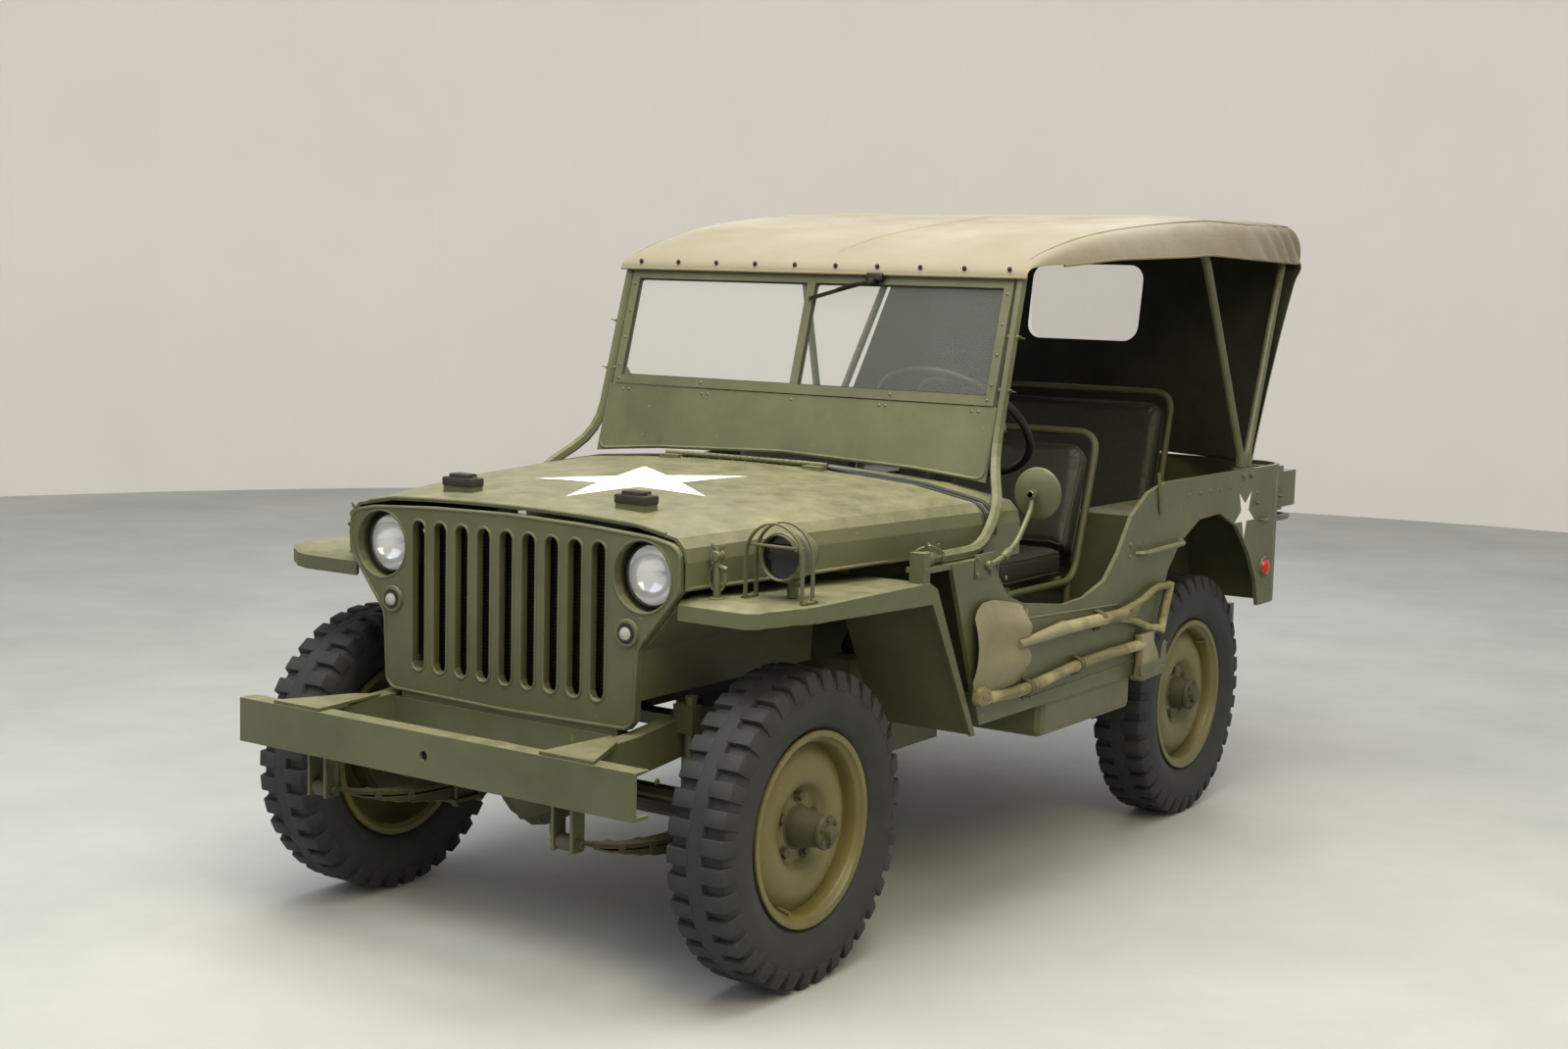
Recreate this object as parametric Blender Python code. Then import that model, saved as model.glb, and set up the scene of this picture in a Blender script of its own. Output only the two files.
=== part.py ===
"""A light military four-by-four field car with its canvas top up.

Metres, +Z up, the front of the car faces -Y and its left side is +X.
The origin is on the ground below the middle of the car's length and width.
"""

import math

import bmesh
import bpy
from mathutils import Matrix, Vector

for old in list(bpy.data.objects):
    bpy.data.objects.remove(old, do_unlink=True)

# Driving sizes of the whole car
WHEELBASE = 2.032
TRACK = 1.26
FRONT_OVERHANG = 0.514
REAR_OVERHANG = 0.7815
BODY_HALF = 0.775
GAP = 0.0003

# Everything lengthwise is measured from one of the two axles
MIDDLE_Y = (FRONT_OVERHANG - REAR_OVERHANG) / 2
FRONT_Y = MIDDLE_Y - WHEELBASE / 2
REAR_Y = MIDDLE_Y + WHEELBASE / 2
BUMPER_Y = FRONT_Y - FRONT_OVERHANG
LAST_Y = REAR_Y + REAR_OVERHANG
COWL_Y = FRONT_Y + 0.686
PANEL_Y = REAR_Y + 0.534

# Wheels and tyres
TYRE_RADIUS = 0.360
TYRE_HALF = 0.0825
RIM_RADIUS = 0.2077
FLANGE_RADIUS = 0.2235
FLANGE_INNER = 0.0525
FLANGE_OUTER = 0.068
DRUM_RADIUS = 0.127
DRUM_BACK = -0.0465
PLATE_FRONT = -0.052
PLATE_BACK = -0.064
HUB_REACH_FRONT = 0.125
HUB_REACH_REAR = 0.095
AXLE_Z = TYRE_RADIUS
WHEEL_X = TRACK / 2
SPARE_X = -0.22
SPARE_Z = 0.87
SPARE_Y = LAST_Y - TYRE_HALF

# Frame, springs and axles
RAIL_X = 0.3715
RAIL_WIDE = 0.045
SPRING_WIDE = 0.044
SPRING_DEEP = 0.040
AXLE_TUBE = 0.036
PUMPKIN_X = -0.09
PUMPKIN_RADIUS = 0.122
KINGPIN_X = WHEEL_X - 0.11
STEERING_ARM = 0.174
TIE_ROD_Z = 0.402
TIE_ROD_RADIUS = 0.014
BALL_RADIUS = 0.055
ENGINE_BOTTOM = 0.545
GEARBOX_BOTTOM = 0.345

# Bumper and front
BUMPER_HALF = 0.593
BUMPER_LOW = 0.461
BUMPER_HIGH = 0.565
BUMPER_DEEP = 0.048
GRILLE_Y = FRONT_Y - 0.249
GRILLE_THICK = 0.022
GRILLE_HALF = 0.500
LAMP_X = GRILLE_HALF - 0.104
LAMP_Z = 0.924
LAMP_RADIUS = 0.077
MARKER_X = GRILLE_HALF - 0.143
MARKER_Z = 0.785
MARKER_RADIUS = 0.031
SLOT_COUNT = 9
SLOT_SPAN = 2 * GRILLE_HALF - 0.454
SLOT_LOW = 0.631
SLOT_HIGH = 0.992
SLOT_WIDE = 0.043

# Body
WALL = 0.012
SHEET = 0.006
SIDE_TOP = 1.033
SIDE_LOW = 0.510
TAIL_LOW = 0.602
FLOOR_TOP = 0.567
REAR_FLOOR_TOP = 0.622
ARCH_TOP = 0.932
ARCH_INNER = WHEEL_X - TYRE_HALF - 0.0475
CORNER_RADIUS = 0.120
COWL_HALF = BODY_HALF - 0.053
COWL_SIDE_TOP = 0.920
COWL_SHOULDER = 1.045
COWL_CROWN = 1.087
HOOD_SHOULDER = 1.024
HOOD_CROWN = 1.043
HOOD_LOW_FRONT = 0.903
HOOD_LOW_REAR = 0.930
FENDER_TOP = 0.885

# Windshield
LEAN = math.radians(15.86)
SCREEN_Y = FRONT_Y + 0.900
SCREEN_Z = 1.257
SCREEN_HALF = BODY_HALF - 0.138
SCREEN_RISE = 0.345
SCREEN_TUBE = 0.014
GLASS_THICK = 0.005

# Seats, steering and top
SEAT_X = BODY_HALF - 0.395
SEAT_HALF = 0.225
SEAT_TOP = 0.850
CUSHION_THICK = 0.075
STEER_X = SEAT_X
STEER_Y = COWL_Y + 0.430
STEER_Z = 1.200
STEER_RADIUS = 0.216
COLUMN_SLOPE = math.radians(48)
BOW_TUBE = 0.0125
BOW_FOOT_Y = REAR_Y + 0.184
FRONT_BOW_Y = REAR_Y - 0.090
REAR_BOW_Y = REAR_Y + 0.584
BOW_TOP = 1.763
CLOTH = 0.006


def coloured(name, red, green, blue, rough, metal):
    """One plain Principled material."""
    made = bpy.data.materials.new(name)
    made.use_nodes = True
    shader = made.node_tree.nodes["Principled BSDF"]
    shader.inputs["Base Color"].default_value = (red, green, blue, 1.0)
    shader.inputs["Roughness"].default_value = rough
    shader.inputs["Metallic"].default_value = metal
    return made


OLIVE = coloured("olive paint", 0.115, 0.110, 0.045, 0.55, 0.0)
DARK = coloured("dark steel", 0.040, 0.038, 0.028, 0.50, 0.6)
RUBBER = coloured("tyre rubber", 0.018, 0.018, 0.017, 0.80, 0.0)
CANVAS = coloured("khaki canvas", 0.420, 0.370, 0.235, 0.90, 0.0)
PAD = coloured("dark seat canvas", 0.028, 0.024, 0.018, 0.80, 0.0)
WOOD = coloured("painted wood", 0.170, 0.150, 0.070, 0.60, 0.0)
GLASS = coloured("clear glass", 0.700, 0.760, 0.740, 0.05, 0.0)
LENS = coloured("lamp glass", 0.800, 0.820, 0.840, 0.10, 0.0)


def put(name, mesh_data, material):
    """A new object from a bmesh, with its faces turned outwards."""
    bmesh.ops.remove_doubles(mesh_data, verts=mesh_data.verts, dist=1e-6)
    bmesh.ops.recalc_face_normals(mesh_data, faces=mesh_data.faces)
    mesh = bpy.data.meshes.new(name)
    mesh_data.to_mesh(mesh)
    mesh_data.free()
    mesh.materials.append(material)
    made = bpy.data.objects.new(name, mesh)
    bpy.context.scene.collection.objects.link(made)
    return made


def box(name, low, high, material=OLIVE, bevel=0.0):
    """A box between two corners, its edges rounded where asked."""
    shape = bmesh.new()
    bmesh.ops.create_cube(shape, size=1.0)
    size = Vector(high) - Vector(low)
    bmesh.ops.scale(shape, vec=size, verts=shape.verts)
    bmesh.ops.translate(shape, vec=(Vector(high) + Vector(low)) / 2, verts=shape.verts)
    if bevel:
        bmesh.ops.bevel(
            shape, geom=shape.edges[:], offset=bevel, segments=2, profile=0.5,
            affect="EDGES", material=-1,
        )
    return put(name, shape, material)


def prism(name, outline, axis, start, end, material=OLIVE):
    """An outline drawn in the plane across one axis, pushed along that axis."""
    shape = bmesh.new()
    corners = []
    for first, second in outline:
        spot = {
            "X": (start, first, second),
            "Y": (first, start, second),
            "Z": (first, second, start),
        }[axis]
        corners.append(shape.verts.new(spot))
    face = shape.faces.new(corners)
    pushed = bmesh.ops.extrude_face_region(shape, geom=[face])
    way = {"X": (1, 0, 0), "Y": (0, 1, 0), "Z": (0, 0, 1)}[axis]
    moved = [item for item in pushed["geom"] if isinstance(item, bmesh.types.BMVert)]
    bmesh.ops.translate(shape, vec=Vector(way) * (end - start), verts=moved)
    return put(name, shape, material)


def rod(name, start, end, radius, material=OLIVE, sides=8, end_radius=None):
    """A round bar or cone between two points."""
    start, end = Vector(start), Vector(end)
    shape = bmesh.new()
    bmesh.ops.create_cone(
        shape, cap_ends=True, segments=sides, radius1=radius,
        radius2=radius if end_radius is None else end_radius, depth=(end - start).length,
    )
    turn = (end - start).to_track_quat("Z", "Y").to_matrix().to_4x4()
    place = Matrix.Translation((start + end) / 2) @ turn
    bmesh.ops.transform(shape, matrix=place, verts=shape.verts)
    made = put(name, shape, material)
    return smooth(made)


def pipe(name, route, radius, material=OLIVE, closed=False, resolution=1):
    """A bent tube along a route, as a curve with a round bevel made into a mesh."""
    curve = bpy.data.curves.new(name, "CURVE")
    curve.dimensions = "3D"
    curve.bevel_depth = radius
    curve.bevel_resolution = resolution
    curve.use_fill_caps = not closed
    line = curve.splines.new("POLY")
    line.points.add(len(route) - 1)
    for point, place in zip(line.points, route):
        point.co = (*place, 1.0)
    line.use_cyclic_u = closed
    source = bpy.data.objects.new(name, curve)
    bpy.context.scene.collection.objects.link(source)
    bpy.context.view_layer.update()
    shape = bmesh.new()
    shape.from_mesh(source.evaluated_get(bpy.context.evaluated_depsgraph_get()).to_mesh())
    bpy.data.objects.remove(source, do_unlink=True)
    return smooth(put(name, shape, material))


def rounded(route, radius, steps=3):
    """The route with each inner corner replaced by a short arc."""
    points = [Vector(place) for place in route]
    result = [points[0]]
    for before, corner, after in zip(points, points[1:], points[2:]):
        reach = min(radius, (before - corner).length * 0.45, (after - corner).length * 0.45)
        first = corner + (before - corner).normalized() * reach
        last = corner + (after - corner).normalized() * reach
        for step in range(steps + 1):
            share = step / steps
            low = first.lerp(corner, share)
            high = corner.lerp(last, share)
            result.append(low.lerp(high, share))
    result.append(points[-1])
    return result


def arc(centre, radius, start, end, steps):
    """Points on a circle in a plane, angles in degrees."""
    found = []
    for step in range(steps + 1):
        angle = math.radians(start + (end - start) * step / steps)
        found.append((centre[0] + radius * math.cos(angle), centre[1] + radius * math.sin(angle)))
    return found


def turned(name, outline, steps, material=OLIVE):
    """An outline of (offset, radius) turned about the X axis into a closed solid."""
    shape = bmesh.new()
    corners = [shape.verts.new((offset, 0.0, radius)) for offset, radius in outline]
    on_axis = max(outline[0][1], outline[-1][1]) < 1e-9
    following = corners[1:] if on_axis else corners[1:] + corners[:1]
    edges = [shape.edges.new(pair) for pair in zip(corners, following)]
    bmesh.ops.spin(
        shape, geom=corners + edges, cent=(0, 0, 0), axis=(1, 0, 0),
        angle=math.tau, steps=steps, use_merge=True, use_duplicate=False,
    )
    bmesh.ops.remove_doubles(shape, verts=shape.verts, dist=1e-5)
    bmesh.ops.dissolve_degenerate(shape, edges=shape.edges, dist=1e-6)
    return smooth(put(name, shape, material))


def smooth(made, angle=35):
    """Rounds are shaded smooth and real corners stay sharp."""
    made.data.shade_smooth()
    made.data.set_sharp_from_angle(angle=math.radians(angle))
    return made


def combine(main, others, operation):
    """Joins or cuts the main object with the others, which are used up."""
    tools = bpy.data.collections.new(main.name + " tools")
    for other in others:
        tools.objects.link(other)
    step = main.modifiers.new(operation.lower(), "BOOLEAN")
    step.operand_type = "COLLECTION"
    step.collection = tools
    step.operation = operation
    step.solver = "EXACT"
    bpy.context.view_layer.update()
    graph = bpy.context.evaluated_depsgraph_get()
    result = bpy.data.meshes.new_from_object(main.evaluated_get(graph))
    main.modifiers.clear()
    main.data = result
    for other in others:
        bpy.data.objects.remove(other, do_unlink=True)
    bpy.data.collections.remove(tools)
    shape = bmesh.new()
    shape.from_mesh(main.data)
    bmesh.ops.remove_doubles(shape, verts=shape.verts, dist=2e-6)
    bmesh.ops.dissolve_degenerate(shape, edges=shape.edges, dist=2e-6)
    shape.to_mesh(main.data)
    shape.free()
    return smooth(main)


def fuse(main, *others):
    return combine(main, others, "UNION")


def cut(main, *others):
    return combine(main, others, "DIFFERENCE")


def moved(made, shift):
    made.data.transform(Matrix.Translation(shift))
    return made


def mirrored(made, name):
    """A copy of an object on the other side of the car."""
    copy = made.copy()
    copy.data = made.data.copy()
    copy.name = name
    copy.data.name = name
    copy.data.transform(Matrix.Scale(-1, 4, (1, 0, 0)))
    copy.data.flip_normals()
    bpy.context.scene.collection.objects.link(copy)
    return copy


def hang(name, place, *pieces):
    """An empty on a joint's axis that carries its pieces."""
    pivot = bpy.data.objects.new(name, None)
    pivot.location = place
    bpy.context.scene.collection.objects.link(pivot)
    for piece in pieces:
        piece.data.transform(Matrix.Translation(-Vector(place)))
        piece.parent = pivot
    return pivot


# Wheels: one tyre section and one wheel section, turned
TYRE_STEPS = 48
WHEEL_STEPS = 16
LUG_DEPTH = 0.013
LUG_FOOT = 0.320
CENTRE_BAND = 0.030
# The flats of the tyre's inner ring stay outside the rim
BEAD = 1 / math.cos(math.pi / TYRE_STEPS)
SHOULDER = 0.066
TYRE_SECTION = [
    (-FLANGE_INNER + GAP, (RIM_RADIUS + GAP) * BEAD),
    (-FLANGE_INNER + GAP, (FLANGE_RADIUS + 0.001) * BEAD),
    (-0.075, 0.243),
    (-TYRE_HALF, 0.290),
    (-0.079, 0.328),
    (-SHOULDER, TYRE_RADIUS),
]
TYRE_OUTLINE = TYRE_SECTION + [(0.0, TYRE_RADIUS)]
TYRE_OUTLINE += [(-offset, radius) for offset, radius in reversed(TYRE_SECTION)]


def wheel_outline(hub_reach):
    """The rim, dished disc, hub and brake drum in one section, the outer side at +X."""
    return [
        (hub_reach, 0.0),
        (hub_reach, 0.026),
        (hub_reach - 0.035, 0.030),
        (0.050, 0.044),
        (0.022, 0.048),
        (0.020, 0.095),
        (0.042, 0.130),
        (0.042, 0.160),
        (0.018, 0.1965),
        (FLANGE_INNER + 0.004, 0.1965),
        (FLANGE_OUTER, 0.206),
        (FLANGE_OUTER, FLANGE_RADIUS),
        (FLANGE_INNER, FLANGE_RADIUS),
        (FLANGE_INNER, RIM_RADIUS),
        (-FLANGE_INNER, RIM_RADIUS),
        (-FLANGE_INNER, FLANGE_RADIUS),
        (-FLANGE_OUTER, FLANGE_RADIUS),
        (-FLANGE_OUTER, 0.1965),
        (0.000, 0.188),
        (0.030, 0.156),
        (0.030, 0.134),
        (0.012, DRUM_RADIUS),
        (DRUM_BACK, DRUM_RADIUS),
        (DRUM_BACK, DRUM_RADIUS - 0.010),
        (-0.004, DRUM_RADIUS - 0.010),
        (-0.004, 0.0),
    ]


def lugged(tyre):
    """Grooves between the lugs of both shoulders, the two sides staggered by one step."""
    for vert in tyre.data.vertices:
        radius = math.hypot(vert.co.y, vert.co.z)
        if radius < LUG_FOOT or abs(vert.co.x) < CENTRE_BAND:
            continue
        step = round(math.atan2(vert.co.y, vert.co.z) / math.tau * TYRE_STEPS)
        if (step + (vert.co.x > 0)) % 2:
            share = (radius - LUG_DEPTH) / radius
            vert.co.y *= share
            vert.co.z *= share
    return tyre


SPARE_OUTLINE = [
    (0.022, 0.050),
    (0.020, 0.095),
    (0.042, 0.130),
    (0.042, 0.160),
    (0.018, 0.1965),
    (FLANGE_INNER + 0.004, 0.1965),
    (FLANGE_OUTER, 0.206),
    (FLANGE_OUTER, FLANGE_RADIUS),
    (FLANGE_INNER, FLANGE_RADIUS),
    (FLANGE_INNER, RIM_RADIUS),
    (-FLANGE_INNER, RIM_RADIUS),
    (-FLANGE_INNER, FLANGE_RADIUS),
    (-FLANGE_OUTER, FLANGE_RADIUS),
    (-FLANGE_OUTER, 0.1965),
    (0.000, 0.188),
    (0.030, 0.156),
    (0.030, 0.134),
    (0.010, 0.100),
    (0.010, 0.050),
]

# Name, side of the car (+1 is left), lengthwise place, reach of the hub
WHEELS = [
    ("front_left", 1, FRONT_Y, HUB_REACH_FRONT),
    ("front_right", -1, FRONT_Y, HUB_REACH_FRONT),
    ("rear_left", 1, REAR_Y, HUB_REACH_REAR),
    ("rear_right", -1, REAR_Y, HUB_REACH_REAR),
]
for place, side, wheel_y, reach in WHEELS:
    tyre = lugged(turned("tyre_" + place, TYRE_OUTLINE, TYRE_STEPS, RUBBER))
    wheel = turned("wheel_" + place, wheel_outline(reach), WHEEL_STEPS)
    for piece in (tyre, wheel):
        piece.location = (side * WHEEL_X, wheel_y, AXLE_Z)
        piece.rotation_euler = (0.0, 0.0, 0.0 if side > 0 else math.pi)

for name, outline, steps, material in (
    ("spare_tyre", TYRE_OUTLINE, TYRE_STEPS, RUBBER),
    ("spare_wheel", SPARE_OUTLINE, WHEEL_STEPS, OLIVE),
):
    spare = turned(name, outline, steps, material)
    if name == "spare_tyre":
        lugged(spare)
    spare.location = (SPARE_X, SPARE_Y, SPARE_Z)
    spare.rotation_euler = (0.0, 0.0, math.pi / 2)

# Frame: two rails with a kick over each axle, cross members, spring hangers and shock absorbers
RAIL_LINE = [
    # lengthwise place, bottom, top
    (BUMPER_Y + 0.040, 0.470, 0.560),
    (FRONT_Y - 0.250, 0.480, 0.568),
    (FRONT_Y, 0.505, 0.595),
    (FRONT_Y + 0.420, 0.450, 0.548),
    (REAR_Y - 0.400, 0.450, 0.548),
    (REAR_Y - 0.050, 0.510, 0.600),
    (PANEL_Y - 0.080, 0.500, 0.600),
]
rail_outline = [(y, low) for y, low, high in RAIL_LINE]
rail_outline += [(y, high) for y, low, high in reversed(RAIL_LINE)]
RAIL_IN = RAIL_X - RAIL_WIDE / 2
RAIL_OUT = RAIL_X + RAIL_WIDE / 2

# Front and rear spring: axle place, reach forward and back, height of the eyes
SPRINGS = [
    ("front", FRONT_Y, 0.460, 0.460, 0.372),
    ("rear", REAR_Y, 0.500, 0.500, 0.385),
]
SPRING_TOP = AXLE_Z - AXLE_TUBE - 0.012
EYE_RADIUS = 0.020
SEAT_SHARE = 0.13
CHEEK = 0.008
HANGER_LONG = 0.020
HANGER_HALF = SPRING_WIDE / 2 + GAP + CHEEK
SHOCK_X = 0.420
SHOCK_REACH = 0.094
SHOCK_FOOT = 0.320
SHOCK_HEAD = {"front": 0.640, "rear": 0.600}
SHOCK_RADIUS = 0.020
SHOCK_ROD = 0.014
PAD_HALF = 0.028
# Pads under the floor: lengthwise place, underside of the floor
BODY_MOUNTS = [
    (COWL_Y + 0.100, FLOOR_TOP - WALL),
    (COWL_Y + 0.620, FLOOR_TOP - WALL),
    (REAR_Y + 0.180, REAR_FLOOR_TOP - WALL),
    (PANEL_Y - 0.120, REAR_FLOOR_TOP - WALL),
]


def rail_height(y, column):
    """Height of the rail's bottom (column 1) or top (column 2) at a place."""
    for first, second in zip(RAIL_LINE, RAIL_LINE[1:]):
        if first[0] <= y <= second[0]:
            share = (y - first[0]) / (second[0] - first[0])
            return first[column] + (second[column] - first[column]) * share
    return RAIL_LINE[0][column] if y < RAIL_LINE[0][0] else RAIL_LINE[-1][column]


def hangers(side, eye_y, eye_z):
    """The head below the rail and the two cheeks that hold one eye of a spring."""
    head_z = rail_height(eye_y, 1)
    near, far = sorted((side * (RAIL_X - HANGER_HALF), side * (RAIL_X + HANGER_HALF)))
    low = (near, eye_y - HANGER_LONG, head_z - 0.010)
    high = (far, eye_y + HANGER_LONG, head_z + 0.014)
    parts = [box("hanger head", low, high)]
    for cheek in (-1, 1):
        middle = side * RAIL_X + cheek * (HANGER_HALF - CHEEK / 2)
        low = (middle - CHEEK / 2, eye_y - HANGER_LONG, eye_z - 0.018)
        high = (middle + CHEEK / 2, eye_y + HANGER_LONG, head_z + 0.012)
        parts.append(box("hanger", low, high))
    return parts


def shock(side, y, head):
    """A shock absorber with the arm that holds its head to the rail."""
    x = side * SHOCK_X
    near, far = sorted((side * (RAIL_X + 0.01), side * (SHOCK_X + 0.016)))
    arm_low = min(head - 0.045, rail_height(y, 2) - 0.030)
    return [
        rod("shock", (x, y, SHOCK_FOOT + 0.04), (x, y, 0.50), SHOCK_RADIUS),
        rod("shock rod", (x, y, 0.49), (x, y, head), SHOCK_ROD),
        box("shock arm", (near, y - 0.016, arm_low), (far, y + 0.016, head - 0.020)),
    ]


frame_parts = []
for side in (1, -1):
    inner, outer = sorted((side * RAIL_IN, side * RAIL_OUT))
    frame_parts.append(prism("rail", rail_outline, "X", inner, outer))
    for end, axle_y, ahead, behind, eye_z in SPRINGS:
        for eye_y in (axle_y - ahead, axle_y + behind):
            frame_parts += hangers(side, eye_y, eye_z)
        shock_y = axle_y + (SHOCK_REACH if end == "rear" else -SHOCK_REACH)
        frame_parts += shock(side, shock_y, SHOCK_HEAD[end])
    for mount_y, floor_low in BODY_MOUNTS:
        inner, outer = sorted((side * (RAIL_X - PAD_HALF), side * (RAIL_X + PAD_HALF)))
        low = (inner, mount_y - 0.030, rail_height(mount_y, 2) - 0.012)
        frame_parts.append(box("body mount", low, (outer, mount_y + 0.030, floor_low - GAP)))

CROSS_HALF = RAIL_IN + 0.01
# Cross members: lengthwise place, half depth, bottom, top
CROSS_MEMBERS = [
    (GRILLE_Y + 0.030, 0.030, 0.500, 0.560),
    (FRONT_Y + 0.100, 0.030, 0.515, ENGINE_BOTTOM - GAP),
    (REAR_Y - 0.420, 0.030, 0.480, 0.540),
    (PANEL_Y - 0.110, 0.028, 0.515, 0.585),
]
for y, half, low, high in CROSS_MEMBERS:
    frame_parts.append(box("cross member", (-CROSS_HALF, y - half, low), (CROSS_HALF, y + half, high)))

# Skid plate that carries the gearbox, hung between the rails
SKID_Y = COWL_Y + 0.310
SKID_HALF = 0.120
SKID_LOW = GEARBOX_BOTTOM - 0.010
frame_parts.append(
    box(
        "skid plate",
        (-CROSS_HALF, SKID_Y - SKID_HALF, SKID_LOW),
        (CROSS_HALF, SKID_Y + SKID_HALF, GEARBOX_BOTTOM - GAP),
    )
)
for side in (1, -1):
    inner, outer = sorted((side * (CROSS_HALF - 0.008), side * CROSS_HALF))
    frame_parts.append(
        box(
            "skid web",
            (inner, SKID_Y - SKID_HALF, SKID_LOW),
            (outer, SKID_Y + SKID_HALF, 0.470),
        )
    )

# Steering box on the left rail, tow hook and the two rear bumperettes
COLUMN_DOWN = Vector((0.0, -math.cos(COLUMN_SLOPE), -math.sin(COLUMN_SLOPE)))
STEER_CENTRE = Vector((STEER_X, STEER_Y, STEER_Z))
# The steering box stands on the level middle of the rail
BOX_LIFT = 0.0575
BOX_HALF = 0.030
BOX_SIDE = 0.045
BOX_REACH = (STEER_Z - RAIL_LINE[3][2] - BOX_LIFT) / math.sin(COLUMN_SLOPE)
HOOK_Z = 0.525
BOX_CENTRE = STEER_CENTRE + COLUMN_DOWN * BOX_REACH
frame_parts.append(
    box(
        "steering box",
        (min(RAIL_X, STEER_X) - BOX_HALF / 2, BOX_CENTRE.y - BOX_SIDE, BOX_CENTRE.z - BOX_LIFT - 0.020),
        (max(RAIL_X, STEER_X) + 0.061, BOX_CENTRE.y + BOX_SIDE, BOX_CENTRE.z + BOX_HALF),
    )
)
frame_parts.append(rod("hook shank", (0, PANEL_Y - 0.12, HOOK_Z), (0, PANEL_Y + 0.075, HOOK_Z), 0.018))
hook_ring = [
    (0.0, PANEL_Y + 0.098 + 0.028 * math.cos(turn), HOOK_Z + 0.028 * math.sin(turn))
    for turn in (math.radians(angle) for angle in range(0, 360, 36))
]
frame_parts.append(pipe("hook", hook_ring, 0.012, closed=True))
for side in (1, -1):
    inner, outer = sorted((side * 0.300, side * 0.590))
    frame_parts.append(
        box("bumperette", (inner, PANEL_Y + 0.015, 0.478), (outer, PANEL_Y + 0.045, 0.560))
    )
    inner, outer = sorted((side * (RAIL_X - 0.015), side * (RAIL_X + 0.015)))
    frame_parts.append(
        box("bumperette arm", (inner, PANEL_Y - 0.120, 0.505), (outer, PANEL_Y + 0.030, 0.550))
    )

BRACE_Y = REAR_Y / 2
chassis = box("chassis_frame", (-CROSS_HALF, BRACE_Y - 0.02, 0.490), (CROSS_HALF, BRACE_Y + 0.02, 0.530))
fuse(chassis, *frame_parts)

# Front bumper: a channel open to the rear, with a stay plate onto each rail
bumper = box(
    "front_bumper",
    (-BUMPER_HALF, BUMPER_Y, BUMPER_LOW),
    (BUMPER_HALF, BUMPER_Y + BUMPER_DEEP, BUMPER_HIGH),
)
cut(
    bumper,
    box(
        "channel",
        (-BUMPER_HALF - 0.01, BUMPER_Y + 0.008, BUMPER_LOW + 0.008),
        (BUMPER_HALF + 0.01, BUMPER_Y + BUMPER_DEEP + 0.01, BUMPER_HIGH - 0.003),
    ),
    rod("crank hole", (0, BUMPER_Y - 0.01, 0.513), (0, BUMPER_Y + 0.02, 0.513), 0.012),
)
STAY_TOP = BUMPER_HIGH + 0.004
stays = []
for side in (1, -1):
    stay = [
        (side * (RAIL_X - 0.040), BUMPER_Y + 0.004),
        (side * (RAIL_X + 0.110), BUMPER_Y + 0.004),
        (side * (RAIL_X + 0.030), BUMPER_Y + 0.180),
        (side * (RAIL_X - 0.020), BUMPER_Y + 0.220),
    ]
    stays.append(prism("stay", stay, "Z", BUMPER_HIGH - 0.004, STAY_TOP + 0.004))
fuse(bumper, *stays)
RAIL_FRONT_CLEAR = [
    box(
        "rail clearance",
        (side * RAIL_X - HANGER_HALF - GAP, BUMPER_Y + 0.034 - GAP, BUMPER_LOW - 0.02),
        (side * RAIL_X + HANGER_HALF + GAP, BUMPER_Y + 0.300, rail_height(BUMPER_Y + 0.22, 2) + GAP),
    )
    for side in (1, -1)
]
cut(bumper, *RAIL_FRONT_CLEAR)

# Leaf springs: a bowed pack with an eye at each end
for end, axle_y, ahead, behind, eye_z in SPRINGS:
    upper, lower = [], []
    for share in (-1.0, -0.75, -0.5, -0.25, -SEAT_SHARE, SEAT_SHARE, 0.25, 0.5, 0.75, 1.0):
        y = axle_y + (ahead if share < 0 else behind) * share
        bow = ((abs(share) - SEAT_SHARE) / (1 - SEAT_SHARE)) ** 2
        z = SPRING_TOP + (eye_z + 0.004 - SPRING_TOP) * bow
        thick = 0.010 + (SPRING_DEEP - 0.010) * (1 - bow)
        upper.append((y, z))
        lower.append((y, z - thick))
    spring = prism(
        "leaf_spring_%s_left" % end, upper + lower[::-1], "X",
        RAIL_X - SPRING_WIDE / 2, RAIL_X + SPRING_WIDE / 2, DARK,
    )
    eyes = [
        rod(
            "eye",
            (RAIL_X - SPRING_WIDE / 2, y, eye_z),
            (RAIL_X + SPRING_WIDE / 2, y, eye_z),
            EYE_RADIUS, DARK,
        )
        for y in (axle_y - ahead, axle_y + behind)
    ]
    fuse(spring, *eyes)
    mirrored(spring, "leaf_spring_%s_right" % end)


def pumpkin(axle_y, nose):
    """The round differential housing with its nose towards the propeller shaft."""
    bulge = turned(
        "bulge",
        [(-0.135, 0.0), (-0.135, 0.045), (-0.080, 0.085), (-0.040, PUMPKIN_RADIUS - 0.012),
         (0.0, PUMPKIN_RADIUS), (0.040, PUMPKIN_RADIUS - 0.012), (0.080, 0.085),
         (0.135, 0.045), (0.135, 0.0)],
        16,
    )
    moved(bulge, (PUMPKIN_X, axle_y, AXLE_Z))
    snout = rod(
        "snout", (PUMPKIN_X, axle_y, AXLE_Z), (PUMPKIN_X, axle_y + nose, AXLE_Z),
        0.070, end_radius=0.040,
    )
    return [bulge, snout]


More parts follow.
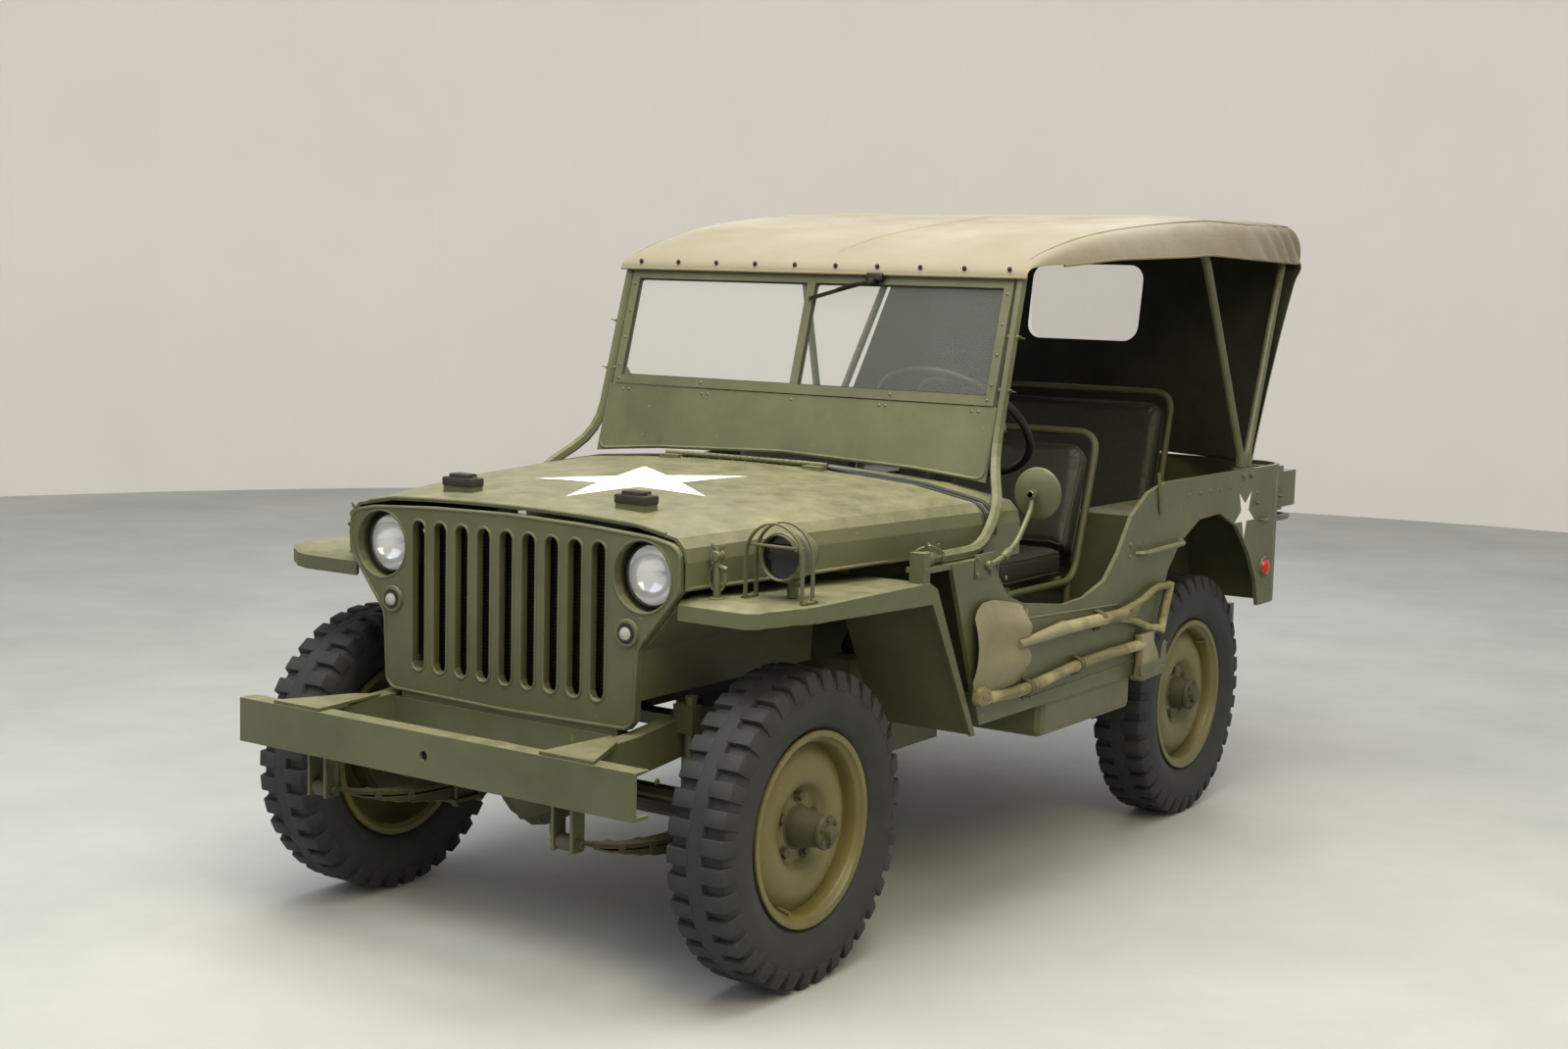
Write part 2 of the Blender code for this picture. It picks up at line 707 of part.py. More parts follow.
def axle(name, axle_y, half, nose, knuckled):
    """A tubular axle with its housing, spring seats and ends."""
    beam = rod(name, (-half, axle_y, AXLE_Z), (half, axle_y, AXLE_Z), AXLE_TUBE, sides=12)
    parts = pumpkin(axle_y, nose)
    for side in (1, -1):
        inner, outer = sorted((side * (RAIL_X - 0.030), side * (RAIL_X + 0.030)))
        low = (inner, axle_y - 0.05, SPRING_TOP + GAP)
        parts.append(box("spring seat", low, (outer, axle_y + 0.05, AXLE_Z + 0.006)))
        if knuckled:
            ball = turned("ball", arc((0, 0), BALL_RADIUS, 0, 180, 6), 14)
            parts.append(moved(ball, (side * KINGPIN_X, axle_y, AXLE_Z)))
    return fuse(beam, *parts)


axle("front_axle", FRONT_Y, KINGPIN_X, 0.190, True)
SPINDLE_END = -0.004 - GAP
rear_axle = axle("rear_axle", REAR_Y, WHEEL_X + SPINDLE_END, -0.190, False)
fuse(
    rear_axle,
    *[
        rod(
            "back plate",
            (side * (WHEEL_X + PLATE_BACK), REAR_Y, AXLE_Z),
            (side * (WHEEL_X + PLATE_FRONT), REAR_Y, AXLE_Z),
            DRUM_RADIUS - 0.004,
            sides=20,
        )
        for side in (1, -1)
    ],
)

# Steering knuckles: a cup round the axle's ball, the back plate, the stub and the steering arm
CUP_INNER = BALL_RADIUS + 0.006
CUP_OUTER = CUP_INNER + 0.014
OFFSET = WHEEL_X - KINGPIN_X
PLATE_RADIUS = DRUM_RADIUS - 0.004
STUB_RADIUS = 0.030
CUP_ANGLES = (0, 25, 50, 75, 98)


def cup_point(radius, angle):
    return (radius * math.cos(math.radians(angle)), radius * math.sin(math.radians(angle)))


cup_outline = [cup_point(CUP_INNER, angle) for angle in CUP_ANGLES]
cup_outline += [cup_point(CUP_OUTER, angle) for angle in reversed(CUP_ANGLES[3:])]
cup_outline += [
    (OFFSET + PLATE_BACK, BALL_RADIUS + 0.007),
    (OFFSET + PLATE_BACK, PLATE_RADIUS),
    (OFFSET + PLATE_FRONT, PLATE_RADIUS),
    (OFFSET + PLATE_FRONT, STUB_RADIUS),
    (OFFSET + SPINDLE_END, STUB_RADIUS),
    (OFFSET + SPINDLE_END, 0.0),
]
knuckle = turned("knuckle_left", cup_outline, 16)
ARM_LOW = TIE_ROD_Z - AXLE_Z + TIE_ROD_RADIUS + 0.006
arm_parts = [
    box("arm", (-0.020, -STEERING_ARM - 0.016, ARM_LOW), (0.016, -0.020, ARM_LOW + 0.016)),
    box("arm root", (-0.020, -0.078, 0.030), (0.016, -0.049, ARM_LOW + 0.016)),
    rod("upper kingpin", (0, 0, BALL_RADIUS + GAP), (0, 0, CUP_OUTER + 0.006), 0.012),
    rod("lower kingpin", (0, 0, -CUP_OUTER - 0.006), (0, 0, -BALL_RADIUS - GAP), 0.012),
]
fuse(knuckle, *arm_parts)
other_knuckle = mirrored(knuckle, "knuckle_right")
knuckle.location = (KINGPIN_X, FRONT_Y, AXLE_Z)
other_knuckle.location = (-KINGPIN_X, FRONT_Y, AXLE_Z)

# Tie rod between the two steering arms, in front of the axle
tie_rod = rod("tie_rod", (-KINGPIN_X, 0, 0), (KINGPIN_X, 0, 0), TIE_ROD_RADIUS, DARK)
fuse(
    tie_rod,
    *[
        rod("end", (side * KINGPIN_X, 0, -0.020), (side * KINGPIN_X, 0, TIE_ROD_RADIUS + 0.0055), 0.016, DARK)
        for side in (1, -1)
    ],
)
moved(tie_rod, (-KINGPIN_X, 0, 0))
tie_rod.location = (KINGPIN_X, FRONT_Y - STEERING_ARM, TIE_ROD_Z)

# Engine, gearbox, shafts and exhaust
ENGINE_BACK = COWL_Y - 0.075
ENGINE_FRONT = FRONT_Y + 0.015
ENGINE_HALF = 0.140
box("engine_block", (-ENGINE_HALF, ENGINE_FRONT, ENGINE_BOTTOM), (ENGINE_HALF, ENGINE_BACK, 0.930), DARK)
GEARBOX_FRONT = COWL_Y + 0.080
GEARBOX_BACK = SKID_Y + 0.110
box("gearbox_case", (-0.180, GEARBOX_FRONT, GEARBOX_BOTTOM), (0.130, GEARBOX_BACK, 0.545), DARK)
SHAFT_RADIUS = 0.024
SHAFT_Z = 0.395
NOSE_REACH = 0.190
# Name, end at the gearbox, end at the axle
SHAFTS = [
    ("front_propshaft", GEARBOX_FRONT - GAP, FRONT_Y + NOSE_REACH + GAP),
    ("rear_propshaft", GEARBOX_BACK + GAP, REAR_Y - NOSE_REACH - GAP),
]
for name, near_y, far_y in SHAFTS:
    way = math.copysign(1, far_y - near_y)
    near = Vector((PUMPKIN_X, near_y, SHAFT_Z))
    far = Vector((PUMPKIN_X, far_y, AXLE_Z))
    inset = Vector((0, way * 0.004, 0))
    flange = Vector((0, way * 0.050, 0))
    fuse(
        rod(name, near + inset, far - inset, SHAFT_RADIUS, DARK),
        rod("near flange", near, near + flange, 0.040, DARK),
        rod("far flange", far - flange, far, 0.040, DARK),
    )

EXHAUST_X = -0.470
EXHAUST_Z = 0.450
MUFFLER_RADIUS = 0.060
PIPE_RADIUS = 0.020
muffler = rod(
    "exhaust", (EXHAUST_X, COWL_Y + 0.140, EXHAUST_Z + 0.010), (EXHAUST_X, COWL_Y + 0.640, EXHAUST_Z + 0.010),
    MUFFLER_RADIUS, DARK, sides=14,
)
tail_route = [
    (EXHAUST_X, COWL_Y + 0.620, EXHAUST_Z),
    (EXHAUST_X, COWL_Y + 0.740, EXHAUST_Z),
    (-BODY_HALF + 0.030, COWL_Y + 0.810, EXHAUST_Z - 0.020),
]
# From the muffler under the rail and up to the engine's side
down_route = [
    (EXHAUST_X, COWL_Y + 0.160, EXHAUST_Z),
    (EXHAUST_X, COWL_Y + 0.030, 0.415),
    (-0.300, COWL_Y - 0.080, 0.415),
    (-0.200, COWL_Y - 0.120, 0.500),
    (-0.190, COWL_Y - 0.150, 0.620),
    (-ENGINE_HALF - GAP, COWL_Y - 0.150, 0.620),
]
fuse(
    muffler,
    pipe("tail pipe", rounded(tail_route, 0.06), PIPE_RADIUS, DARK),
    pipe("down pipe", rounded(down_route, 0.05), PIPE_RADIUS, DARK),
)

# Grille: a cut plate with nine slots, two lamp openings and two small lamps that it carries
EDGE_RADIUS = 0.034
GRILLE_LOW = 0.572
grille_outline = [
    (0.0, HOOD_CROWN - 0.013),
    (GRILLE_HALF * 0.46, HOOD_CROWN - 0.018),
    (GRILLE_HALF * 0.84, HOOD_CROWN - 0.029),
]
grille_outline += arc((GRILLE_HALF - EDGE_RADIUS, HOOD_SHOULDER - 0.053), EDGE_RADIUS, 75, 15, 2)
grille_outline += [
    (GRILLE_HALF, 0.900),
    (GRILLE_HALF - 0.113, 0.762),
    (GRILLE_HALF - 0.120, 0.600),
    (GRILLE_HALF - 0.140, GRILLE_LOW + 0.006),
    (0.0, GRILLE_LOW),
]
grille_outline += [(-x, z) for x, z in reversed(grille_outline[1:-1])]
grille = prism("grille", grille_outline, "Y", GRILLE_Y, GRILLE_Y + GRILLE_THICK)
GRILLE_BACK = GRILLE_Y + GRILLE_THICK
cutters = []
for index in range(SLOT_COUNT):
    x = SLOT_SPAN * (index / (SLOT_COUNT - 1) - 0.5)
    half = SLOT_WIDE / 2
    slot = arc((x, SLOT_HIGH - half), half, 0, 180, 4) + arc((x, SLOT_LOW + half), half, 180, 360, 4)
    cutters.append(prism("slot", slot, "Y", GRILLE_Y - 0.01, GRILLE_BACK + 0.01))
for side in (1, -1):
    front = Vector((side * LAMP_X, GRILLE_Y - 0.01, LAMP_Z))
    cutters.append(rod("lamp hole", front, front + Vector((0, 0.06, 0)), LAMP_RADIUS + 0.003, sides=20))
cut(grille, *cutters)
markers = []
for side in (1, -1):
    front = Vector((side * MARKER_X, GRILLE_Y - 0.006, MARKER_Z + 0.010))
    markers.append(rod("marker", front, front + Vector((0, 0.0275, 0)), MARKER_RADIUS, sides=12))
FOOT_LOW = 0.5603
GRILLE_FOOT = GRILLE_HALF - 0.170
grille_foot = box(
    "grille foot", (-GRILLE_FOOT, GRILLE_Y + 0.004, FOOT_LOW), (GRILLE_FOOT, GRILLE_Y + 0.040, 0.585),
)
fuse(grille, *markers, grille_foot)
radiator = box("radiator", (-0.280, GRILLE_BACK + 0.012, 0.600), (0.280, GRILLE_Y + 0.105, 0.985), DARK)
fuse(
    radiator,
    box("radiator foot", (-0.200, GRILLE_Y + 0.0405, FOOT_LOW), (0.200, GRILLE_Y + 0.058, 0.610), DARK),
)

# The lens stands inside a bucket that hangs on the back of the grille
BUCKET = LAMP_RADIUS + 0.011
lamp_outline = [
    # offset towards the front, radius
    (-0.003, 0.0),
    (-0.009, LAMP_RADIUS - 0.041),
    (-0.019, LAMP_RADIUS - 0.015),
    (-0.021, LAMP_RADIUS - 0.009),
    (-0.046, LAMP_RADIUS - 0.007),
    (-0.046, LAMP_RADIUS + 0.003),
    (-0.010 - GAP, LAMP_RADIUS + 0.004),
    (-0.010 - GAP, BUCKET),
    (-0.050, BUCKET - 0.004),
    (-0.080, 0.050),
    (-0.090, 0.0),
]
for name, side in (("headlamp_left", 1), ("headlamp_right", -1)):
    lamp = turned(name, lamp_outline, 20, LENS)
    lamp.rotation_euler = (0.0, 0.0, -math.pi / 2)
    lamp.location = (side * LAMP_X, GRILLE_Y + 0.012, LAMP_Z)

# Hood: an arched sheet, narrower at the grille than at the cowl
HOOD_LAP = 0.0058
HOOD_FRONT_Y = GRILLE_Y + 0.010
HOOD_REAR_Y = COWL_Y - 0.006


def hood_section(half, low, shoulder, crown, inset):
    """One arched section of the hood, from its left edge over to its right edge."""
    radius = 0.060
    points = [(half - inset, low)]
    points += arc((half - inset - radius, shoulder - radius - inset), radius, 0, 60, 2)
    for share in (0.72, 0.48, 0.24, 0.0):
        rise = (crown - shoulder) * (1 - share * share)
        points.append((half * share, shoulder + 0.003 + rise - inset))
    return points + [(-x, z) for x, z in reversed(points[:-1])]


def between(first, last, share):
    return first + (last - first) * share


# From the grille to the cowl: share of the length, of the widening and of the rise
HOOD_SHARES = ((0.0, 0.0, 0.0), (0.34, 0.372, 0.510), (0.67, 0.729, 0.834), (1.0, 1.0, 1.0))
HOOD_STEP = 0.004
hood_rows = [
    (
        between(HOOD_FRONT_Y, HOOD_REAR_Y, along),
        between(GRILLE_HALF + HOOD_LAP + SHEET, COWL_HALF, wider),
        between(HOOD_LOW_FRONT, HOOD_LOW_REAR, along),
        between(HOOD_SHOULDER, COWL_SHOULDER + HOOD_STEP, rise),
        between(HOOD_CROWN, COWL_CROWN + HOOD_STEP, rise),
    )
    for along, wider, rise in HOOD_SHARES
]


def arched(name, rows, thick, material=OLIVE):
    """A sheet of the given thickness through several arched sections."""
    shape = bmesh.new()
    rings = []
    for y, *sizes in rows:
        ring = hood_section(*sizes, 0.0) + hood_section(*sizes, thick)[::-1]
        rings.append([shape.verts.new((x, y, z)) for x, z in ring])
    for before, after in zip(rings, rings[1:]):
        for index in range(len(before)):
            shape.faces.new((before[index - 1], before[index], after[index], after[index - 1]))
    for ring in (rings[0], rings[-1]):
        for index in range(len(ring) // 2 - 1):
            shape.faces.new((ring[index], ring[index + 1], ring[-index - 2], ring[-index - 1]))
    return smooth(put(name, shape, material), 50)


hood = arched("hood", hood_rows, SHEET)
HINGE_Y = COWL_Y - 0.003
HINGE_Z = COWL_CROWN + 0.0145
LEAF_TOP = HINGE_Z - 0.003
HINGE_RADIUS = 0.006
HINGE_HALF = 0.200
HOOD_HINGE = (0.0, HINGE_Y, HINGE_Z)
BLOCK_Y = FRONT_Y - 0.108
blocks = [
    box(
        "hood block",
        (x - 0.045, BLOCK_Y - 0.020, HOOD_CROWN - 0.009),
        (x + 0.045, BLOCK_Y + 0.020, HOOD_CROWN + 0.024),
        WOOD,
    )
    for x in (0.265, -0.265)
]
for side in (1, -1):
    near, far = sorted((side * (HINGE_HALF + GAP), side * (HINGE_HALF + 0.060)))
    blocks.append(rod("knuckle", (near, HINGE_Y, HINGE_Z), (far, HINGE_Y, HINGE_Z), HINGE_RADIUS))
    blocks.append(box("leaf", (near, HINGE_Y - 0.030, LEAF_TOP - 0.0195), (far, HINGE_Y - 0.002, LEAF_TOP)))
fuse(hood, *blocks)

# Cowl: the arched panel behind the hood with the firewall and the dash
DASH_Y = COWL_Y + 0.185
DASH_DROP = 0.004
COWL_LOW = 0.900
cowl = arched(
    "cowl",
    [
        (COWL_Y, COWL_HALF, COWL_LOW, COWL_SHOULDER, COWL_CROWN),
        (DASH_Y, COWL_HALF, COWL_LOW, COWL_SHOULDER - DASH_DROP, COWL_CROWN - DASH_DROP),
    ],
    SHEET,
)
dash_section = hood_section(
    COWL_HALF, COWL_LOW + 0.005, COWL_SHOULDER - DASH_DROP, COWL_CROWN - DASH_DROP, SHEET / 2,
)
fire_section = hood_section(COWL_HALF, COWL_LOW + 0.005, COWL_SHOULDER, COWL_CROWN, SHEET / 2)
FIREWALL_LOW = FLOOR_TOP + GAP
COWL_FOOT_HALF = BODY_HALF - WALL - GAP
firewall = prism("firewall", fire_section, "Y", COWL_Y + 0.002, COWL_Y + 0.008)
lower_wall = prism(
    "lower firewall",
    [
        (-COWL_FOOT_HALF, FIREWALL_LOW),
        (COWL_FOOT_HALF, FIREWALL_LOW),
        (COWL_FOOT_HALF, COWL_LOW + 0.007),
        (-COWL_FOOT_HALF, COWL_LOW + 0.007),
    ],
    "Y", COWL_Y + 0.002, COWL_Y + 0.008,
)
dash = prism(
    "dash",
    [(x, max(z, 0.93)) for x, z in dash_section],
    "Y", DASH_Y - 0.010, DASH_Y - 0.002,
)
barrel_end = Vector((HINGE_HALF, HINGE_Y, HINGE_Z))
hinge_barrel = rod("barrel", (-HINGE_HALF, HINGE_Y, HINGE_Z), barrel_end, HINGE_RADIUS)
leaf_low = (-HINGE_HALF, HINGE_Y + 0.004, LEAF_TOP - 0.0245)
hinge_leaf = box("leaf", leaf_low, (HINGE_HALF, COWL_Y + 0.030, LEAF_TOP))
fuse(cowl, firewall, lower_wall, dash, hinge_barrel, hinge_leaf)

# Front fenders: a crowned top sheet with a sloping tail, and the apron down to the frame
FENDER_FRONT = FRONT_Y - 0.240
FENDER_SHEET = 0.010
FENDER_NOSE = 0.871
TAIL_Y = FRONT_Y + 0.582
TAIL_Z = 0.488
FENDER_LINE = [
    # lengthwise place, height of the top surface
    (FENDER_FRONT, FENDER_NOSE),
    (FENDER_FRONT + 0.014, FENDER_TOP - 0.006),
    (FENDER_FRONT + 0.050, FENDER_TOP),
    (FRONT_Y + 0.345, FENDER_TOP),
    (FRONT_Y + 0.379, FENDER_TOP - 0.017),
    (TAIL_Y, TAIL_Z),
]
LIP = 0.034
LIP_THICK = 0.008
fender_outline = list(FENDER_LINE)
fender_outline += [(TAIL_Y - 0.020, TAIL_Z), (FRONT_Y + 0.360, FENDER_TOP - 0.017 - LIP)]
fender_outline += [(y, z - LIP) for y, z in reversed(FENDER_LINE[:3])]
FENDER_IN = GRILLE_HALF - 0.012
fender = prism("fender_left", fender_outline, "X", FENDER_IN, BODY_HALF)
TURN = 0.110
INNER_X = BODY_HALF - LIP_THICK
INNER_Y = FENDER_FRONT + LIP_THICK
INNER_TURN = TURN - LIP_THICK


def corner_block(name, half, front, turn):
    """What lies outside the fender's rounded front corner, seen from above."""
    outline = [(half + 0.01, front - 0.01), (half - turn, front - 0.01)]
    outline += arc((half - turn, front + turn), turn, -90, 0, 5)
    outline += [(half + 0.01, front + turn)]
    return prism(name, outline, "Z", 0.70, 1.0)


under = [(INNER_Y, FENDER_TOP - 0.016), (FENDER_FRONT + 0.050, FENDER_TOP - FENDER_SHEET)]
under += [(y, z - FENDER_SHEET) for y, z in FENDER_LINE[3:]]
under += [(TAIL_Y, TAIL_Z - 0.05), (TAIL_Y - 0.10, TAIL_Z - 0.05), (FRONT_Y + 0.20, 0.70), (INNER_Y, 0.70)]
inside = prism("inside", under, "X", FENDER_IN - 0.01, INNER_X)
cut(inside, corner_block("inner corner", INNER_X, INNER_Y, INNER_TURN))
cut(fender, inside)
cut(fender, corner_block("corner", BODY_HALF, FENDER_FRONT, TURN))
APRON_LOW = 0.645
APRON_THICK = 0.008
apron_ring = [
    (GRILLE_HALF - 0.006, FENDER_TOP - 0.004),
    (GRILLE_HALF - 0.109, 0.757),
    (GRILLE_HALF - 0.116, APRON_LOW),
]
apron_ring += [(x - APRON_THICK, z) for x, z in reversed(apron_ring)]
apron = prism("apron", apron_ring, "Y", GRILLE_BACK + GAP, FRONT_Y + 0.440)
fuse(fender, apron)
LAMP_POST = Vector((between(GRILLE_HALF, BODY_HALF, 0.6), FRONT_Y - 0.060, FENDER_TOP))
mirrored(fender, "fender_right")

# Tub: floor, sides with the door cut and the wheel arches, rounded rear corners and rear panel
PIVOT_Y = FRONT_Y + 0.350
door_cut = [
    # lengthwise place from the front axle, height
    (0.641, COWL_SIDE_TOP),
    (0.665, 0.876),
    (0.720, 0.815),
    (0.809, 0.785),
    (1.033, 0.757),
    (1.147, 0.762),
    (1.266, 0.795),
    (1.342, 0.860),
    (1.417, 0.954),
    (1.518, 1.012),
    (1.627, SIDE_TOP),
]
arch_line = [
    # lengthwise place from the rear axle, height
    (0.313, TAIL_LOW),
    (0.288, 0.683),
    (0.222, 0.773),
    (0.119, 0.865),
    (-0.013, 0.914),
    (-0.161, 0.908),
    (-0.294, 0.851),
    (-0.367, 0.781),
    (-0.420, 0.660),
    (-0.455, SIDE_LOW),
]
side_outline = [(FRONT_Y + 0.440, COWL_SIDE_TOP)] + [(FRONT_Y + y, z) for y, z in door_cut]
side_outline += [(PANEL_Y - CORNER_RADIUS, SIDE_TOP), (PANEL_Y - CORNER_RADIUS, TAIL_LOW)]
side_outline += [(REAR_Y + y, z) for y, z in arch_line]
side_outline += [(FRONT_Y + 0.600, SIDE_LOW)]
STEP_Y = REAR_Y - 0.430
ARCH_BACK_Y = REAR_Y + 0.400
ARCH_WALL = 0.010
HANDLE_OUT = 0.026
BOW_PAD = 0.050
TAIL_LAMP_Z = 0.720


def one_side(side):
    """The pieces of the body on one side."""
    inner, outer = sorted((side * (BODY_HALF - WALL), side * BODY_HALF))
    parts = [prism("side", side_outline, "X", inner, outer)]
    centre = (side * (BODY_HALF - CORNER_RADIUS), PANEL_Y - CORNER_RADIUS)
    start, end = (0, 90) if side > 0 else (180, 90)
    bend = arc(centre, CORNER_RADIUS, start, end, 5)
    bend_inner = arc(centre, CORNER_RADIUS - WALL, end, start, 5)
    parts.append(prism("corner", bend + bend_inner, "Z", TAIL_LOW, SIDE_TOP))
    # Wheel box inside the body
    floor_low = FLOOR_TOP - 0.004
    near, far = sorted((side * ARCH_INNER, side * (BODY_HALF - WALL + 0.002)))
    parts.append(box("arch top", (near, STEP_Y, ARCH_TOP - ARCH_WALL), (far, ARCH_BACK_Y, ARCH_TOP)))
    parts.append(box("arch front", (near, STEP_Y, floor_low), (far, STEP_Y + ARCH_WALL, ARCH_TOP)))
    parts.append(
        box("arch rear", (near, ARCH_BACK_Y - ARCH_WALL, REAR_FLOOR_TOP - WALL), (far, ARCH_BACK_Y, ARCH_TOP))
    )
    near, far = sorted((side * ARCH_INNER, side * (ARCH_INNER + ARCH_WALL)))
    parts.append(box("arch wall", (near, STEP_Y, floor_low), (far, ARCH_BACK_Y, ARCH_TOP)))
    # Ledge beside the cowl
    ledge_low = COWL_SIDE_TOP - 0.012
    near, far = sorted((side * (COWL_HALF + GAP), side * (BODY_HALF - 0.002)))
    parts.append(box("ledge", (near, PIVOT_Y - 0.030, ledge_low), (far, FRONT_Y + 0.650, COWL_SIDE_TOP)))
    # Pivot block that holds the lower end of the windshield's tube
    near, far = sorted((side * (COWL_HALF + 0.010), side * (BODY_HALF - 0.004)))
    pivot_top = COWL_SIDE_TOP + 0.036
    low = (near, PIVOT_Y - 0.030, FENDER_TOP + GAP)
    parts.append(box("pivot block", low, (far, PIVOT_Y - 0.0008, pivot_top)))
    # Grab handle ahead of the rear wheel
    x = side * (BODY_HALF - 0.004)
    out = x + side * HANDLE_OUT
    handle = [
        (x, REAR_Y - 0.578, 0.848),
        (out, REAR_Y - 0.570, 0.850),
        (out, REAR_Y - 0.312, 0.856),
        (x, REAR_Y - 0.300, 0.858),
    ]
    parts.append(pipe("handle", rounded(handle, 0.015), 0.008))
    # Foot that the top bows stand on
    near, far = sorted((side * (BODY_HALF - 0.030), side * BODY_HALF))
    low = (near, BOW_FOOT_Y - BOW_PAD, SIDE_TOP - 0.040)
    parts.append(box("bow foot", low, (far, BOW_FOOT_Y + BOW_PAD, SIDE_TOP + 0.004)))
    # Tail lamp on the rear panel
    lamp = Vector((side * (BODY_HALF - 0.155), PANEL_Y - 0.005, TAIL_LAMP_Z))
    parts.append(rod("tail lamp", lamp, lamp + Vector((0, 0.040, 0)), 0.034, sides=12))
    # Floor behind the wheel box
    near, far = sorted((side * (ARCH_INNER - 0.01), side * (BODY_HALF - 0.040)))
    low = (near, ARCH_BACK_Y - 0.008, REAR_FLOOR_TOP - WALL)
    parts.append(box("tail floor", low, (far, PANEL_Y - 0.060, REAR_FLOOR_TOP)))
    return parts


tub_parts = one_side(1) + one_side(-1)
rear_half = BODY_HALF - CORNER_RADIUS
tub_parts.append(box("rear panel", (-rear_half, PANEL_Y - WALL, TAIL_LOW), (rear_half, PANEL_Y, SIDE_TOP)))
floor_half = BODY_HALF - WALL + 0.002
bed_half = ARCH_INNER + 0.002
tub_parts.append(
    box("rear floor", (-bed_half, STEP_Y, REAR_FLOOR_TOP - WALL), (bed_half, PANEL_Y - 0.004, REAR_FLOOR_TOP))
)
tub_parts.append(
    box("riser", (-bed_half, STEP_Y, FLOOR_TOP - WALL), (bed_half, STEP_Y + ARCH_WALL, REAR_FLOOR_TOP))
)
# Tank well below the driver's floor
WELL_LOW = 0.415
well_in = RAIL_OUT + 0.036
tub_parts.append(
    box(
        "tank well",
        (well_in, COWL_Y + 0.260, WELL_LOW),
        (BODY_HALF - 0.010, COWL_Y + 0.790, FLOOR_TOP - 0.002),
        OLIVE, 0.020,
    )
)
# Bracket box and loop at the left rear corner
PLATE_OUT = BODY_HALF - 0.030
BRACKET_OUT = BODY_HALF - 0.040
LOOP_OUT = BODY_HALF - 0.055
LOOP_Z = 0.848
plate_low = (PLATE_OUT - 0.085, PANEL_Y - 0.060, 0.880)
tub_parts.append(box("corner plate", plate_low, (PLATE_OUT, PANEL_Y + 0.018, 1.020)))
bracket_low = (BRACKET_OUT - 0.080, PANEL_Y + 0.004, 0.885)
tub_parts.append(box("corner box", bracket_low, (BRACKET_OUT, PANEL_Y + 0.150, 0.998)))
loop = [
    (LOOP_OUT, PANEL_Y - 0.020, LOOP_Z),
    (LOOP_OUT, PANEL_Y + 0.150, LOOP_Z),
    (LOOP_OUT - 0.070, PANEL_Y + 0.150, LOOP_Z),
    (LOOP_OUT - 0.070, PANEL_Y - 0.006, LOOP_Z),
]
tub_parts.append(pipe("loop", rounded(loop, 0.03), 0.010))
# Carrier for the spare wheel
carrier_foot = (SPARE_X, PANEL_Y - 0.005, SPARE_Z)
tub_parts.append(rod("spare carrier", carrier_foot, (SPARE_X, SPARE_Y + 0.006, SPARE_Z), 0.044, sides=12))
plate_foot = (SPARE_X, SPARE_Y - 0.025, SPARE_Z)
tub_parts.append(rod("spare plate", plate_foot, (SPARE_X, SPARE_Y + 0.010 - GAP, SPARE_Z), 0.090, sides=16))

tub = box("tub", (-floor_half, COWL_Y - 0.020, FLOOR_TOP - 0.012), (floor_half, STEP_Y + 0.008, FLOOR_TOP))
fuse(tub, *tub_parts)

# Windshield: tubular frame with a plain lower panel, an inner frame that holds two panes
def leaned(made):
    """From an upright drawing at the plane y = 0, z = 0 into the leaning windshield."""
    turn = Matrix.Rotation(-LEAN, 4, "X")
    made.data.transform(Matrix.Translation((0, SCREEN_Y, SCREEN_Z)) @ turn)
    return made


RISE = SCREEN_RISE / math.cos(LEAN)
HEADER_LOW = RISE - 0.016
screen_frame = leaned(
    box("windshield_frame", (-SCREEN_HALF, -0.012, HEADER_LOW), (SCREEN_HALF, 0.012, RISE + 0.012))
)
screen_parts = []
PANEL_TOP = 0.004
PIVOT_X = COWL_HALF + 0.027
PANEL_GAP = 0.018
panel_low = []
for x in (SCREEN_HALF - 0.004, SCREEN_HALF - 0.077, SCREEN_HALF * 0.66, 0.0):
    arch_rise = (COWL_CROWN - COWL_SHOULDER) * (1 - (x / COWL_HALF) ** 2)
    panel_low.append((x, (COWL_SHOULDER + arch_rise + PANEL_GAP - SCREEN_Z) / math.cos(LEAN)))
panel_outline = [(SCREEN_HALF - 0.004, PANEL_TOP)] + panel_low
panel_outline += [(-x, z) for x, z in reversed(panel_low[:-1])]
panel_outline += [(-SCREEN_HALF + 0.004, PANEL_TOP)]
screen_parts.append(leaned(prism("panel", panel_outline, "Y", -0.006, 0.000)))
for side in (1, -1):
    lean = math.tan(LEAN)
    route = [
        (side * SCREEN_HALF, SCREEN_Y + lean * SCREEN_RISE, SCREEN_Z + SCREEN_RISE),
        (side * (SCREEN_HALF + 0.008), SCREEN_Y - lean * 0.130, SCREEN_Z - 0.130),
        (side * (COWL_HALF + 0.012), SCREEN_Y - 0.170, COWL_SIDE_TOP + 0.105),
        (side * PIVOT_X, SCREEN_Y - 0.275, COWL_SIDE_TOP + 0.0175),
        (side * PIVOT_X, PIVOT_Y, COWL_SIDE_TOP + 0.0175),
    ]
    screen_parts.append(pipe("tube", rounded(route, 0.09, 4), SCREEN_TUBE))
fuse(screen_frame, *screen_parts)

